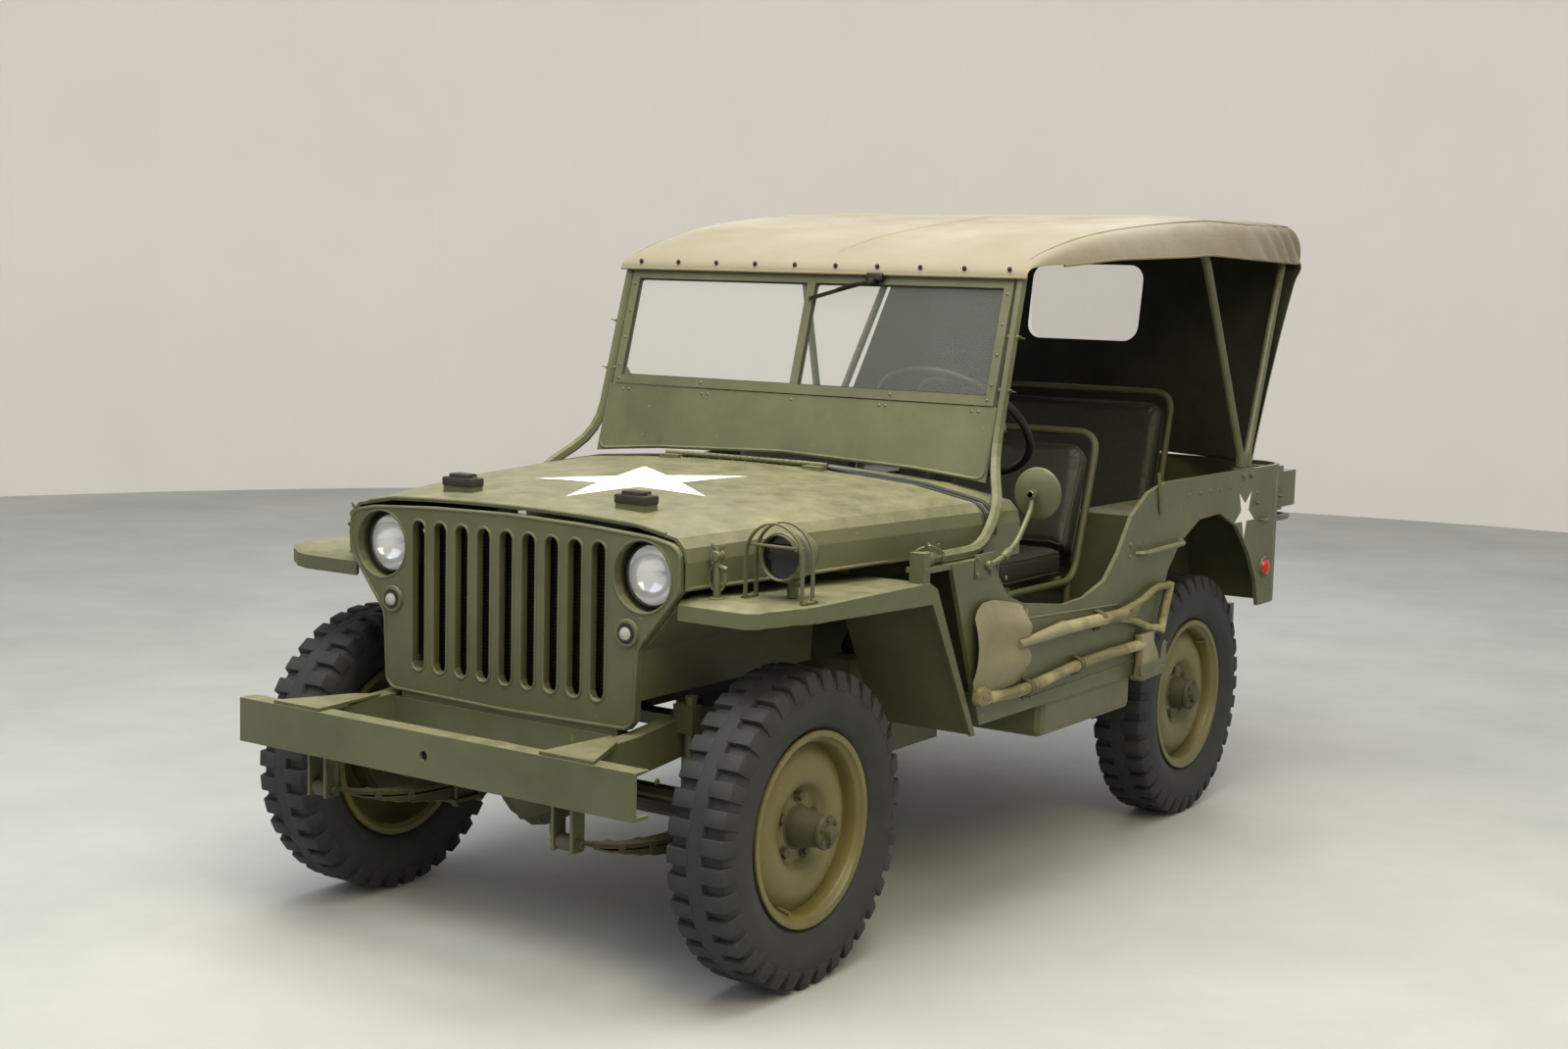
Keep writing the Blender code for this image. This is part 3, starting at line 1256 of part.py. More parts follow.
INNER_HALF = SCREEN_HALF - SCREEN_TUBE - 0.003
INNER_LOW = PANEL_TOP + 0.002
INNER_TOP = HEADER_LOW - GAP
BORDER = 0.026
DIVIDER = 0.013
inner_frame = box("glass_frame", (-INNER_HALF, -0.009, INNER_LOW), (INNER_HALF, 0.009, INNER_TOP))
openings = []
for side in (1, -1):
    near, far = sorted((side * DIVIDER, side * (INNER_HALF - BORDER)))
    openings.append(box("opening", (near, -0.02, INNER_LOW + BORDER), (far, 0.02, INNER_TOP - BORDER)))
cut(inner_frame, *openings)
leaned(inner_frame)
for name, side in (("window_pane_left", 1), ("window_pane_right", -1)):
    near, far = sorted((side * (DIVIDER + GAP), side * (INNER_HALF - BORDER - GAP)))
    leaned(
        box(
            name,
            (near, -GLASS_THICK / 2, INNER_LOW + BORDER + GAP),
            (far, GLASS_THICK / 2, INNER_TOP - BORDER - GAP),
            GLASS,
        )
    )
WIPER_X = 0.200
WIPER_BACK = -0.0093
wiper_low = (WIPER_X - 0.012, -0.045, INNER_TOP - 0.036)
wiper = leaned(box("wiper", wiper_low, (WIPER_X + 0.012, WIPER_BACK, INNER_TOP - 0.022), DARK))
arm_root = (WIPER_X + 0.005, -0.036, INNER_TOP - 0.029)
arm_tip = (WIPER_X - 0.120, -0.034, INNER_TOP - 0.078)
motor_low = (WIPER_X - 0.030, -0.030, INNER_TOP - 0.040)
fuse(
    wiper,
    leaned(rod("wiper arm", arm_root, arm_tip, 0.005, DARK, sides=6)),
    leaned(box("wiper motor", motor_low, (WIPER_X + 0.030, WIPER_BACK, INNER_TOP - 0.020), DARK)),
)

# Steering wheel and column
steer_turn = Matrix.Rotation(COLUMN_SLOPE - math.pi / 2, 4, "X")
ring = [(x, y, 0) for x, y in arc((0, 0), STEER_RADIUS, 0, 345, 23)]
steering_wheel = pipe("steering_wheel", ring, 0.011, DARK, closed=True)
spokes = [rod("hub", (0, 0, -0.050), (0, 0, -0.006), 0.030, DARK)]
for turn in (90, 210, 330):
    end_x, end_y = arc((0, 0), STEER_RADIUS - 0.002, turn, turn, 1)[0]
    spokes.append(rod("spoke", (0, 0, -0.026), (end_x, end_y, 0), 0.006, DARK, sides=6))
fuse(steering_wheel, *spokes)
steering_wheel.data.transform(steer_turn)
steering_wheel.location = STEER_CENTRE
COLUMN_TOP = STEER_CENTRE + COLUMN_DOWN * 0.0505
COLUMN_FOOT = STEER_CENTRE + COLUMN_DOWN * (BOX_REACH - 0.0527)
column = rod("steering_column", COLUMN_TOP, COLUMN_FOOT, 0.020, DARK)


def column_clear(name):
    return rod(name, STEER_CENTRE + COLUMN_DOWN * 0.1, STEER_CENTRE + COLUMN_DOWN * (BOX_REACH + 0.01), 0.024)


cut(cowl, column_clear("column hole"))
cut(tub, column_clear("column hole"))


# Seats: a tubular frame with a cushion and a back pad
SEAT_TUBE = 0.011
FOOT_LIFT = 0.012
LOOP_DROP = 0.020
LOOP_BACK = 0.020
BACK_RAKE = 0.120


def seat_frame(name, x, half, foot_y, back_y, floor, top):
    """Two side loops joined by cross tubes, on four feet."""
    parts = []
    loop_z = SEAT_TOP - CUSHION_THICK - LOOP_DROP
    bend_y = back_y - LOOP_BACK
    for side in (1, -1):
        at = x + side * (half - 0.020)
        route = [
            (at, foot_y, floor + FOOT_LIFT),
            (at, foot_y, loop_z),
            (at, bend_y, loop_z),
            (at, bend_y + BACK_RAKE, top),
        ]
        parts.append(pipe("loop", rounded(route, 0.05, 2), SEAT_TUBE))
        leg_y = back_y - 0.060
        parts.append(rod("rear leg", (at, leg_y, loop_z), (at, leg_y, floor + GAP), SEAT_TUBE))
    low = SEAT_TOP - CUSHION_THICK - SEAT_TUBE - GAP
    # Cross tubes: lengthwise place, height
    for y, z in ((foot_y + 0.040, low), (back_y - 0.100, low), (bend_y + BACK_RAKE - 0.002, top - 0.008)):
        parts.append(rod("rail", (x - half + 0.02, y, z), (x + half - 0.02, y, z), SEAT_TUBE))
    main = parts[0]
    main.name = name
    main.data.name = name
    return fuse(main, *parts[1:])


def pad(name, low, high, slope=0.0, bevel=0.018):
    """A plain cushion, leaned back about its lower front edge."""
    made = box(name, low, high, PAD, bevel)
    if slope:
        pivot = Vector((0, low[1], low[2]))
        turn = Matrix.Translation(pivot) @ Matrix.Rotation(-slope, 4, "X") @ Matrix.Translation(-pivot)
        made.data.transform(turn)
    return made


FRONT_FOOT_Y = COWL_Y + 0.350
FRONT_BACK_Y = COWL_Y + 0.790
BACK_TOP = 1.170
PAD_THICK = 0.066
REAR_FOOT_Y = REAR_Y - 0.150
REAR_BACK_Y = REAR_Y + 0.220
# Name, middle, half width, front foot, back, floor, top of the back
SEATS = [
    ("driver_seat", SEAT_X, SEAT_HALF, FRONT_FOOT_Y, FRONT_BACK_Y, FLOOR_TOP, BACK_TOP),
    ("passenger_seat", -SEAT_X, SEAT_HALF, FRONT_FOOT_Y, FRONT_BACK_Y, FLOOR_TOP, BACK_TOP),
    ("rear_seat", 0.0, ARCH_INNER - 0.020, REAR_FOOT_Y, REAR_BACK_Y, REAR_FLOOR_TOP, 1.250),
]
seat_pieces = {}
for name, x, half, foot_y, back_y, floor, top in SEATS:
    loop_low = SEAT_TOP - CUSHION_THICK - LOOP_DROP
    slope = math.atan2(BACK_RAKE, top - loop_low)
    pad_low = SEAT_TOP - 0.010
    tube_y = back_y - LOOP_BACK + (pad_low - loop_low) * math.tan(slope)
    pad_back = tube_y - (SEAT_TUBE - 0.0028) / math.cos(slope)
    pad_front = pad_back - PAD_THICK / math.cos(slope)
    frame = seat_frame(name + "_frame", x, half, foot_y, back_y, floor, top)
    cushion = pad(
        name + "_cushion",
        (x - half + 0.012, foot_y - 0.010, SEAT_TOP - CUSHION_THICK),
        (x + half - 0.012, pad_front - 0.006, SEAT_TOP),
    )
    back = pad(
        name + "_back",
        (x - half + 0.012, pad_front, pad_low),
        (x + half - 0.012, pad_front + PAD_THICK, top - 0.012),
        slope,
    )
    seat_pieces[name] = (frame, cushion, back)

# Top bows: bent tubes that stand on the body's sides
BOW_HALF = BODY_HALF - 0.085
BOW_FOOT_X = BODY_HALF - 0.016
BOW_STAND = SIDE_TOP + 0.004 + GAP
for name, foot_shift, top_y in (("front_bow", -0.020, FRONT_BOW_Y), ("rear_bow", 0.020, REAR_BOW_Y)):
    route = [
        (BOW_FOOT_X, BOW_FOOT_Y + foot_shift, BOW_STAND),
        (BOW_FOOT_X, BOW_FOOT_Y + foot_shift, BOW_STAND + 0.02),
        (BOW_HALF + 0.018, top_y - math.copysign(0.03, foot_shift), BOW_TOP - 0.080),
        (BOW_HALF - 0.060, top_y, BOW_TOP),
    ]
    route += [(-x, y, z) for x, y, z in reversed(route)]
    pipe(name, rounded(route, 0.060, 3), BOW_TUBE)

# Canvas top: one sheet from the windshield over the bows and down behind as the rear curtain
# Across the canvas: share of the half width, share of the drop at the side edge
COLUMNS = ((1.0, 1.0), (0.992, 0.70), (0.955, 0.22), (0.870, 0.03), (0.60, 0.0), (0.30, 0.0), (0.0, 0.0))
COLUMNS += tuple((-share, fall) for share, fall in reversed(COLUMNS[:-1]))
HEM_Y = SCREEN_Y + math.tan(LEAN) * SCREEN_RISE
HEM_Z = SCREEN_Z + SCREEN_RISE
HEM_HALF = SCREEN_HALF + 0.023
TOP_HALF = BODY_HALF - 0.037
CURTAIN_HALF = TOP_HALF - 0.002
CURTAIN_HIGH = BOW_TOP - 0.108
CURTAIN_Y = REAR_BOW_Y + 0.040
ROOF_ROWS = [
    # lengthwise place, height in the middle, half width, drop at the side edge
    (HEM_Y - 0.0230, HEM_Z - 0.012, HEM_HALF, 0.002),
    (HEM_Y - 0.0190, HEM_Z + 0.024, HEM_HALF, 0.004),
    (HEM_Y + 0.160, between(HEM_Z, BOW_TOP, 0.385), HEM_HALF + 0.012, 0.040),
    (HEM_Y + 0.420, between(HEM_Z, BOW_TOP, 0.708), HEM_HALF + 0.040, 0.070),
    (FRONT_BOW_Y - 0.100, BOW_TOP + 0.007, TOP_HALF - 0.006, 0.108),
    (FRONT_BOW_Y, BOW_TOP + 0.018, TOP_HALF, 0.112),
    (FRONT_BOW_Y + 0.320, BOW_TOP + 0.011, TOP_HALF, 0.112),
    (REAR_BOW_Y - 0.060, BOW_TOP + 0.021, TOP_HALF, 0.128),
    (REAR_BOW_Y + 0.012, BOW_TOP + 0.017, TOP_HALF, 0.126),
    (REAR_BOW_Y + 0.034, BOW_TOP - 0.018, TOP_HALF - 0.001, 0.090),
    (CURTAIN_Y, CURTAIN_HIGH, CURTAIN_HALF, 0.002),
]
CURTAIN_FOOT_Y = PANEL_Y - 0.018
CURTAIN_SIDE_Y = BOW_FOOT_Y + 0.060
CURTAIN_LOW = SIDE_TOP + 0.006
canvas_shape = bmesh.new()
grid = []
for y, height, half, drop in ROOF_ROWS:
    row = []
    for share, fall in COLUMNS:
        row.append(canvas_shape.verts.new((half * share, y, height - drop * fall)))
    grid.append(row)
for step in (0.25, 0.5, 0.75, 1.0):
    middle_y = between(CURTAIN_Y, CURTAIN_FOOT_Y, step)
    side_y = between(CURTAIN_Y - 0.010, CURTAIN_SIDE_Y, step)
    half = between(CURTAIN_HALF, BOW_FOOT_X, step * step)
    row = []
    for share, fall in COLUMNS:
        bend = max(0.0, (abs(share) - 0.60) / 0.40) ** 2
        spot = (half * share, between(middle_y, side_y, bend), between(CURTAIN_HIGH, CURTAIN_LOW, step))
        row.append(canvas_shape.verts.new(spot))
    grid.append(row)
for before, after in zip(grid, grid[1:]):
    for index in range(len(before) - 1):
        canvas_shape.faces.new((before[index], before[index + 1], after[index + 1], after[index]))
canvas = put("canvas_top", canvas_shape, CANVAS)
thick = canvas.modifiers.new("cloth", "SOLIDIFY")
thick.thickness = CLOTH
thick.offset = 0.0
thick.use_even_offset = True
bpy.context.view_layer.update()
canvas.data = bpy.data.meshes.new_from_object(canvas.evaluated_get(bpy.context.evaluated_depsgraph_get()))
canvas.modifiers.clear()
WINDOW_HALF = 0.205
WINDOW_LOW = 1.390
WINDOW_HIGH = 1.640
WINDOW_TURN = 0.050
window = []
for side, centre_z, start in (
    (1, WINDOW_HIGH - WINDOW_TURN, 0),
    (-1, WINDOW_HIGH - WINDOW_TURN, 90),
    (-1, WINDOW_LOW + WINDOW_TURN, 180),
    (1, WINDOW_LOW + WINDOW_TURN, 270),
):
    window += arc((side * (WINDOW_HALF - WINDOW_TURN), centre_z), WINDOW_TURN, start, start + 90, 3)
cut(canvas, prism("window", window, "Y", REAR_BOW_Y - 0.10, REAR_BOW_Y + 0.10))

# Tools on the left side: shovel above, axe below
TOOL_X = BODY_HALF + 0.0005
BLADE = [
    # lengthwise place from the middle of the wheelbase, height
    (-0.225, 0.790),
    (-0.222, 0.690),
    (-0.280, 0.592),
    (-0.430, 0.600),
    (-0.415, 0.800),
]
shovel = prism("shovel", [(MIDDLE_Y + y, z) for y, z in BLADE], "X", TOOL_X, TOOL_X + 0.006)
SHAFT_X = TOOL_X + 0.018
GRIP = [(0.430, 0.706), (0.520, 0.745), (0.560, 0.745), (0.560, 0.640), (0.520, 0.640), (0.435, 0.700)]
grip = [(SHAFT_X, MIDDLE_Y + y, z) for y, z in GRIP]
fuse(
    shovel,
    rod("shaft", (SHAFT_X, MIDDLE_Y - 0.300, 0.712), (SHAFT_X, MIDDLE_Y + 0.440, 0.706), 0.016, WOOD),
    pipe("grip", rounded(grip, 0.02), 0.011, WOOD),
)
HAFT = [(-0.440, 0.570), (-0.200, 0.576), (0.080, 0.604), (0.470, 0.610)]
haft = [(TOOL_X + 0.0155, MIDDLE_Y + y, z) for y, z in HAFT]
axe = pipe("axe", rounded(haft, 0.1), 0.015, WOOD)
AXE_HEAD = [(0.400, 0.640), (0.470, 0.655), (0.475, 0.560), (0.495, 0.535), (0.385, 0.535), (0.405, 0.565)]
fuse(axe, prism("head", [(MIDDLE_Y + y, z) for y, z in AXE_HEAD], "X", TOOL_X, TOOL_X + 0.028, DARK))

# Mirror on the left side
MIRROR_FOOT = Vector((BODY_HALF + GAP, COWL_Y - 0.030, 0.895))
MIRROR_AT = Vector((BODY_HALF + 0.003, COWL_Y + 0.176, 1.058))
DISC_HALF = Vector((0, 0.006, 0))
mirror = rod("mirror", MIRROR_FOOT, MIRROR_FOOT + Vector((0.030, 0, 0)), 0.014)
fuse(
    mirror,
    rod("arm", MIRROR_FOOT + Vector((0.020, 0, 0)), MIRROR_AT, 0.008),
    rod("disc", MIRROR_AT - DISC_HALF, MIRROR_AT + DISC_HALF, 0.0655, sides=20),
)

# Blackout driving lamp with its guard on the left fender
GUARD_RADIUS = 0.076
lamp = rod("blackout_lamp", LAMP_POST + Vector((0, 0, GAP)), LAMP_POST + Vector((0, 0, 0.060)), 0.012)
centre = LAMP_POST + Vector((0, 0, 0.095))
guard_y = LAMP_POST.y - 0.075
guard = [(x, guard_y, z) for x, z in arc((LAMP_POST.x, centre.z), GUARD_RADIUS, 0, 180, 9)]
guard = [(LAMP_POST.x + GUARD_RADIUS, guard_y, FENDER_TOP + 0.006)] + guard
guard += [(LAMP_POST.x - GUARD_RADIUS, guard_y, FENDER_TOP + 0.006)]
drum_outline = [(-0.060, 0.0), (-0.055, 0.025), (-0.020, 0.052), (0.045, 0.055), (0.050, 0.0)]
drum = turned("drum", drum_outline, 14)
drum.data.transform(Matrix.Translation(centre) @ Matrix.Rotation(-math.pi / 2, 4, "Z"))
foot_low = LAMP_POST + Vector((-GUARD_RADIUS - 0.004, -0.082, GAP))
foot_high = LAMP_POST + Vector((GUARD_RADIUS + 0.004, 0.020, 0.010))
fuse(lamp, drum, pipe("guard", guard, 0.006), box("guard foot", foot_low, foot_high))

# Pivots of what moves: the hood and the passenger's seat, beside the wheels and knuckles above
hang("hood_hinge", HOOD_HINGE, hood)
hang("passenger_seat_pivot", (-SEAT_X, FRONT_FOOT_Y, FLOOR_TOP + FOOT_LIFT), *seat_pieces["passenger_seat"])
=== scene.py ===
import math
import random

import bmesh
import bpy
from mathutils import Matrix, Vector, noise
from mathutils.bvhtree import BVHTree


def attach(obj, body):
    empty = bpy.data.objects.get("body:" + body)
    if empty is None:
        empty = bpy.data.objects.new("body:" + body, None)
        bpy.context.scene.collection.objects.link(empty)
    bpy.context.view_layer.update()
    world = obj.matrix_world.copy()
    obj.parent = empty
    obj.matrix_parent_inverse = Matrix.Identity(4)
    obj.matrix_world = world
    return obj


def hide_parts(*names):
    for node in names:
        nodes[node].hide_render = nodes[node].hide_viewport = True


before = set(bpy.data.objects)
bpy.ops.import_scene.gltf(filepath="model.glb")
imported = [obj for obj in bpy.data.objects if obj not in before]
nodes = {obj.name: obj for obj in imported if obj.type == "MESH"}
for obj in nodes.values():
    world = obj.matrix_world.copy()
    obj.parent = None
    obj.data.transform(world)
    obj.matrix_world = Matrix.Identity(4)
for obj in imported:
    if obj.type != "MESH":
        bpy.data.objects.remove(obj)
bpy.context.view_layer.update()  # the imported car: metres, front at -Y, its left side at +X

chance = random.Random(11)

# Places that many pieces share
car = dict(front=-1.14975, rear=0.88225, bumper=-1.66375, cowl=-0.46375, panel=1.41625, last=1.66375,
           axleZ=0.36, wheelX=0.63, bodyHalf=0.775, grille=-1.39875, floor=0.567, rearFloor=0.622)


# Colours and materials
def hexColour(text):
    parts = [int(text[i:i + 2], 16) / 255 for i in (1, 3, 5)]
    return tuple(p / 12.92 if p <= 0.04045 else ((p + 0.055) / 1.055) ** 2.4 for p in parts) + (1.0,)


def addNode(tree, kind, settings=None):  # a value that is another node's output is linked
    node = tree.nodes.new("ShaderNode" + kind)
    for key, value in (settings or {}).items():
        if isinstance(value, bpy.types.NodeSocket):
            tree.links.new(value, node.inputs[key])
        elif isinstance(key, int) or key in node.inputs:
            node.inputs[key].default_value = value
        else:
            setattr(node, key, value)
    return node


def newMaterial(name, settings):
    material = bpy.data.materials.new(name)
    material.use_nodes = True
    tree = material.node_tree
    shader = tree.nodes["Principled BSDF"]
    for key, value in settings.items():
        shader.inputs[key].default_value = value
    return material, tree, shader, addNode(tree, "TexCoord").outputs["Object"]


def cloudy(tree, spot, scale, detail, rough=0.5):
    settings = {"Scale": scale, "Detail": detail, "Roughness": rough, "Vector": spot}
    return addNode(tree, "TexNoise", settings).outputs["Fac"]


def fade(tree, source, low, high, most=1.0):  # what lies between two levels, spread over 0 to most
    settings = {"From Min": low, "From Max": high, "To Max": most, "Value": source}
    return addNode(tree, "MapRange", settings).outputs["Result"]


def mixed(tree, factor, first, second):
    return addNode(tree, "MixRGB", {"Fac": factor, "Color1": first, "Color2": second}).outputs["Color"]


def product(tree, first, second):
    return addNode(tree, "Math", {"operation": "MULTIPLY", 0: first, 1: second}).outputs[0]


def glossed(tree, shader, source, low, high):
    gloss = addNode(tree, "MapRange", {"To Min": low, "To Max": high, "Value": source})
    tree.links.new(gloss.outputs["Result"], shader.inputs["Roughness"])


def bumped(tree, shader, height, distance, strength):
    bump = addNode(tree, "Bump", {"Strength": strength, "Distance": distance, "Height": height})
    tree.links.new(bump.outputs["Normal"], shader.inputs["Normal"])


def sprayedPaint(name, main, deep, litTopColour, roughness=0.46, topLightShare=0.30, wear=0.35):
    # Sprayed enamel on pressed steel: faint orange peel, blotches 0.3 m wide, painted light from above on what faces up
    # (a paler top colour laid in streaks), small chips
    material, tree, shader, spot = newMaterial(name, {"Specular IOR Level": 0.45})
    blotch = cloudy(tree, spot, 3.2, 5.0, 0.62)
    colour = mixed(tree, fade(tree, blotch, 0.36, 0.66), hexColour(main), hexColour(deep))
    # Painted light from above: faces that point up are mixed, in streaks, towards a paler lit colour
    up = addNode(tree, "SeparateXYZ", {0: addNode(tree, "NewGeometry").outputs["Normal"]})
    streak = cloudy(tree, spot, 14.0, 6.0, 0.7)
    litUpward = product(tree, fade(tree, up.outputs["Z"], 0.15, 1.0), fade(tree, streak, 0.25, 0.80))
    colour = mixed(tree, product(tree, litUpward, topLightShare), colour, hexColour(litTopColour))
    chipped = product(tree, fade(tree, cloudy(tree, spot, 42.0, 3.0, 0.55), 0.70, 0.78), wear)
    colour = mixed(tree, chipped, colour, hexColour("#9c9878"))
    tree.links.new(colour, shader.inputs["Base Color"])
    glossed(tree, shader, streak, roughness - 0.07, roughness + 0.12)
    bumped(tree, shader, cloudy(tree, spot, 260.0, 2.0), 0.0006, 0.35)  # 4 mm ripples
    return material


def plainFinish(name, main, deep, scale, roughness, metal=0.0, relief=0.0005):
    # One finish with two tones and a relief of the given grain
    material, tree, shader, spot = newMaterial(name, {"Metallic": metal})
    grain = cloudy(tree, spot, scale, 5.0, 0.6)
    colour = mixed(tree, fade(tree, grain, 0.32, 0.70), hexColour(main), hexColour(deep))
    tree.links.new(colour, shader.inputs["Base Color"])
    glossed(tree, shader, grain, max(0.02, roughness - 0.08), roughness + 0.10)
    bumped(tree, shader, grain, relief, 0.5)
    return material


def wovenDuck(name, pale, brown, deep, rearBrowning):
    # Cotton duck: plain weave, drawn at 2.4 mm so that it shows, blotched, darker and browner towards the rear, and
    # browner lower down
    material, tree, shader, spot = newMaterial(name, {"Roughness": 0.92, "Specular IOR Level": 0.2,
                                                      "Sheen Weight": 0.15})
    stain = cloudy(tree, spot, 2.6, 7.0, 0.66)
    colour = mixed(tree, fade(tree, stain, 0.36, 0.68), hexColour(pale), hexColour(brown))
    parts = addNode(tree, "SeparateXYZ", {0: spot}).outputs
    # Darker and browner towards the rear
    colour = mixed(tree, fade(tree, parts["Y"], 0.75, 1.60, rearBrowning), colour, hexColour(deep))
    colour = mixed(tree, fade(tree, parts["Z"], 1.74, 1.64, 0.75), colour, hexColour(brown))
    tree.links.new(colour, shader.inputs["Base Color"])
    threads = []
    for direction in ("X", "Y"):
        threads.append(addNode(tree, "TexWave", {"bands_direction": direction, "Scale": 131.0, "Distortion": 1.2,
                                                 "Detail": 1.0, "Vector": spot}).outputs["Fac"])
    bumped(tree, shader, product(tree, *threads), 0.0008, 0.55)
    return material


def clearGlass(name, tint, alpha, roughness):
    # Flat float glass: nearly clear, with a hard reflection
    material, tree, shader, spot = newMaterial(name, {"Base Color": hexColour(tint), "Alpha": alpha, "IOR": 1.52})
    glossed(tree, shader, cloudy(tree, spot, 5.0, 4.0), roughness, roughness + 0.06)
    return material


def grainedWood(name, main, deep, roughness):
    # Ash handles, painted thin and rubbed: the grain runs along the car
    material, tree, shader, spot = newMaterial(name, {"Specular IOR Level": 0.35, "Roughness": roughness})
    along = addNode(tree, "Mapping", {"Scale": (30.0, 2.0, 30.0), "Vector": spot})
    fibre = cloudy(tree, along.outputs[0], 3.0, 6.0, 0.65)
    rub = cloudy(tree, spot, 7.0, 3.0)
    colour = mixed(tree, fade(tree, fibre, 0.35, 0.65), hexColour(main), hexColour(deep))
    colour = mixed(tree, product(tree, fade(tree, rub, 0.52, 0.62), 0.5), colour, hexColour("#b3ad84"))
    tree.links.new(colour, shader.inputs["Base Color"])
    bumped(tree, shader, fibre, 0.0006, 0.5)
    return material


# Each enamel's third colour and its share are painted light from above, put on the faces that point up
olivePaint = sprayedPaint("olive drab enamel", "#5a5c42", "#4a4d36", "#aca682", roughness=0.40, topLightShare=0.52)
wheelPaint = sprayedPaint("olive drab wheel enamel", "#6b663b", "#595532", "#989062", roughness=0.38, topLightShare=0.15)
toolPaint = sprayedPaint("worn olive tool paint", "#837f64", "#6b6850", "#b3af92", roughness=0.50, wear=0.8)
interiorPaint = sprayedPaint("shaded olive enamel", "#57563b", "#484830", "#7e7a5a", roughness=0.52, topLightShare=0.15)
darkSteel = plainFinish("oiled dark steel", "#2b2a22", "#1d1c17", 30.0, 0.48, metal=0.55)
runningGear = sprayedPaint("dull olive chassis paint", "#4c4a33", "#3a3928", "#6d6a4c", roughness=0.55, topLightShare=0.20)
tyreRubber = plainFinish("tyre rubber", "#212323", "#2e3030", 18.0, 0.74, relief=0.0006)
sealRubber = plainFinish("black moulded rubber", "#141412", "#1c1c19", 40.0, 0.55)
canvasOut = wovenDuck("sun bleached cotton duck", "#9c9a8e", "#87806c", "#5a5038", 0.95)
canvasIn = plainFinish("cotton duck inside", "#2c2d22", "#222319", 9.0, 0.95, relief=0.0008)
canvasBind = wovenDuck("webbing of the top", "#8f8870", "#7a7156", "#5f563b", 0.5)
strapWeb = plainFinish("cotton webbing", "#5e5a3e", "#4a4730", 120.0, 0.85, relief=0.0010)
seatCover = plainFinish("dark seat duck", "#24231d", "#302e25", 60.0, 0.55, relief=0.0008)
seatPipe = plainFinish("seat piping", "#34322a", "#272620", 90.0, 0.6)
ashWood = grainedWood("painted ash", "#7f7a56", "#625d3f", 0.62)
darkWood = plainFinish("blackened oak blocks", "#1f1c17", "#2b2720", 50.0, 0.5, relief=0.0010)
whitePaint = plainFinish("white stencil paint", "#efeeea", "#dddbd3", 26.0, 0.55, relief=0.0003)
redLens = plainFinish("red lamp glass", "#c22a18", "#9c180f", 60.0, 0.14)
blackLens = plainFinish("black lamp glass", "#0c0d0d", "#15171a", 20.0, 0.08)
silvered = plainFinish("silvered reflector", "#fafbfc", "#e9ecee", 8.0, 0.12, metal=0.85, relief=0.0001)
paneGlass = clearGlass("flat window glass", "#aab2ae", 0.10, 0.01)
lampGlass = clearGlass("pressed lamp glass", "#f2f6f8", 0.22, 0.04)
dialFace = plainFinish("dial enamel", "#15150f", "#24241c", 90.0, 0.35)
print("materials made")


# Shapes
def linked(made):
    bpy.context.scene.collection.objects.link(made)
    return made


def objectOf(name, shape, *materials):  # an object in the scene, from a bmesh that ends here
    mesh = bpy.data.meshes.new(name)
    shape.to_mesh(mesh)
    shape.free()
    for material in materials:
        mesh.materials.append(material)
    return linked(bpy.data.objects.new(name, mesh))


def moved(part, matrix):
    bmesh.ops.transform(part, matrix=matrix, verts=part.verts)
    return part


def absorb(shape, part, matrix=None):  # adds one bmesh to another, in place
    if matrix is not None:
        moved(part, matrix)
    scratch = bpy.data.meshes.new("scratch")
    part.to_mesh(scratch)
    part.free()
    shape.from_mesh(scratch)
    bpy.data.meshes.remove(scratch)


def scatter(shape, part, matrices):  # many copies of one small form
    scratch = bpy.data.meshes.new("scratch")
    part.to_mesh(scratch)
    part.free()
    for matrix in matrices:
        copy = scratch.copy()
        copy.transform(matrix)
        shape.from_mesh(copy)
        bpy.data.meshes.remove(copy)
    bpy.data.meshes.remove(scratch)


def facing(at, normal):  # local +Z looks along the normal
    return Matrix.Translation(Vector(at)) @ Vector(normal).to_track_quat("Z", "Y").to_matrix().to_4x4()


def softened(part, size, segments=2, limit=30):
    edges = [e for e in part.edges if len(e.link_faces) == 2 and math.degrees(e.calc_face_angle(0)) > limit]
    if size:
        bmesh.ops.bevel(part, geom=edges, offset=size, segments=segments, profile=0.5, affect="EDGES", material=-1)
    return part


def block(low, high, bevel=0.0, segments=2):
    part = bmesh.new()
    bmesh.ops.create_cube(part, size=1.0)
    low, high = Vector(low), Vector(high)
    bmesh.ops.scale(part, vec=high - low, verts=part.verts)
    bmesh.ops.translate(part, vec=(high + low) / 2, verts=part.verts)
    return softened(part, bevel, segments)


def bar(start, end, radius, sides=16, endRadius=None, bevel=0.0):
    part = bmesh.new()
    start, end = Vector(start), Vector(end)
    bmesh.ops.create_cone(part, cap_ends=True, segments=sides, radius1=radius,
                          radius2=radius if endRadius is None else endRadius, depth=(end - start).length)
    softened(part, bevel, 2, 60)
    return moved(part, facing((start + end) / 2, end - start))


def turned(outline, steps=48, closed=True, matrix=None):  # (offset along X, radius) about the X axis
    part = bmesh.new()
    corners = [part.verts.new((offset, 0.0, radius)) for offset, radius in outline]
    ends = corners[1:] + corners[:1] if closed else corners[1:]
    edges = [part.edges.new(pair) for pair in zip(corners, ends)]
    bmesh.ops.spin(part, geom=corners + edges, cent=(0, 0, 0), axis=(1, 0, 0), angle=math.tau, steps=steps,
                   use_merge=True, use_duplicate=False)
    bmesh.ops.remove_doubles(part, verts=part.verts, dist=1e-5)
    return part if matrix is None else moved(part, matrix)


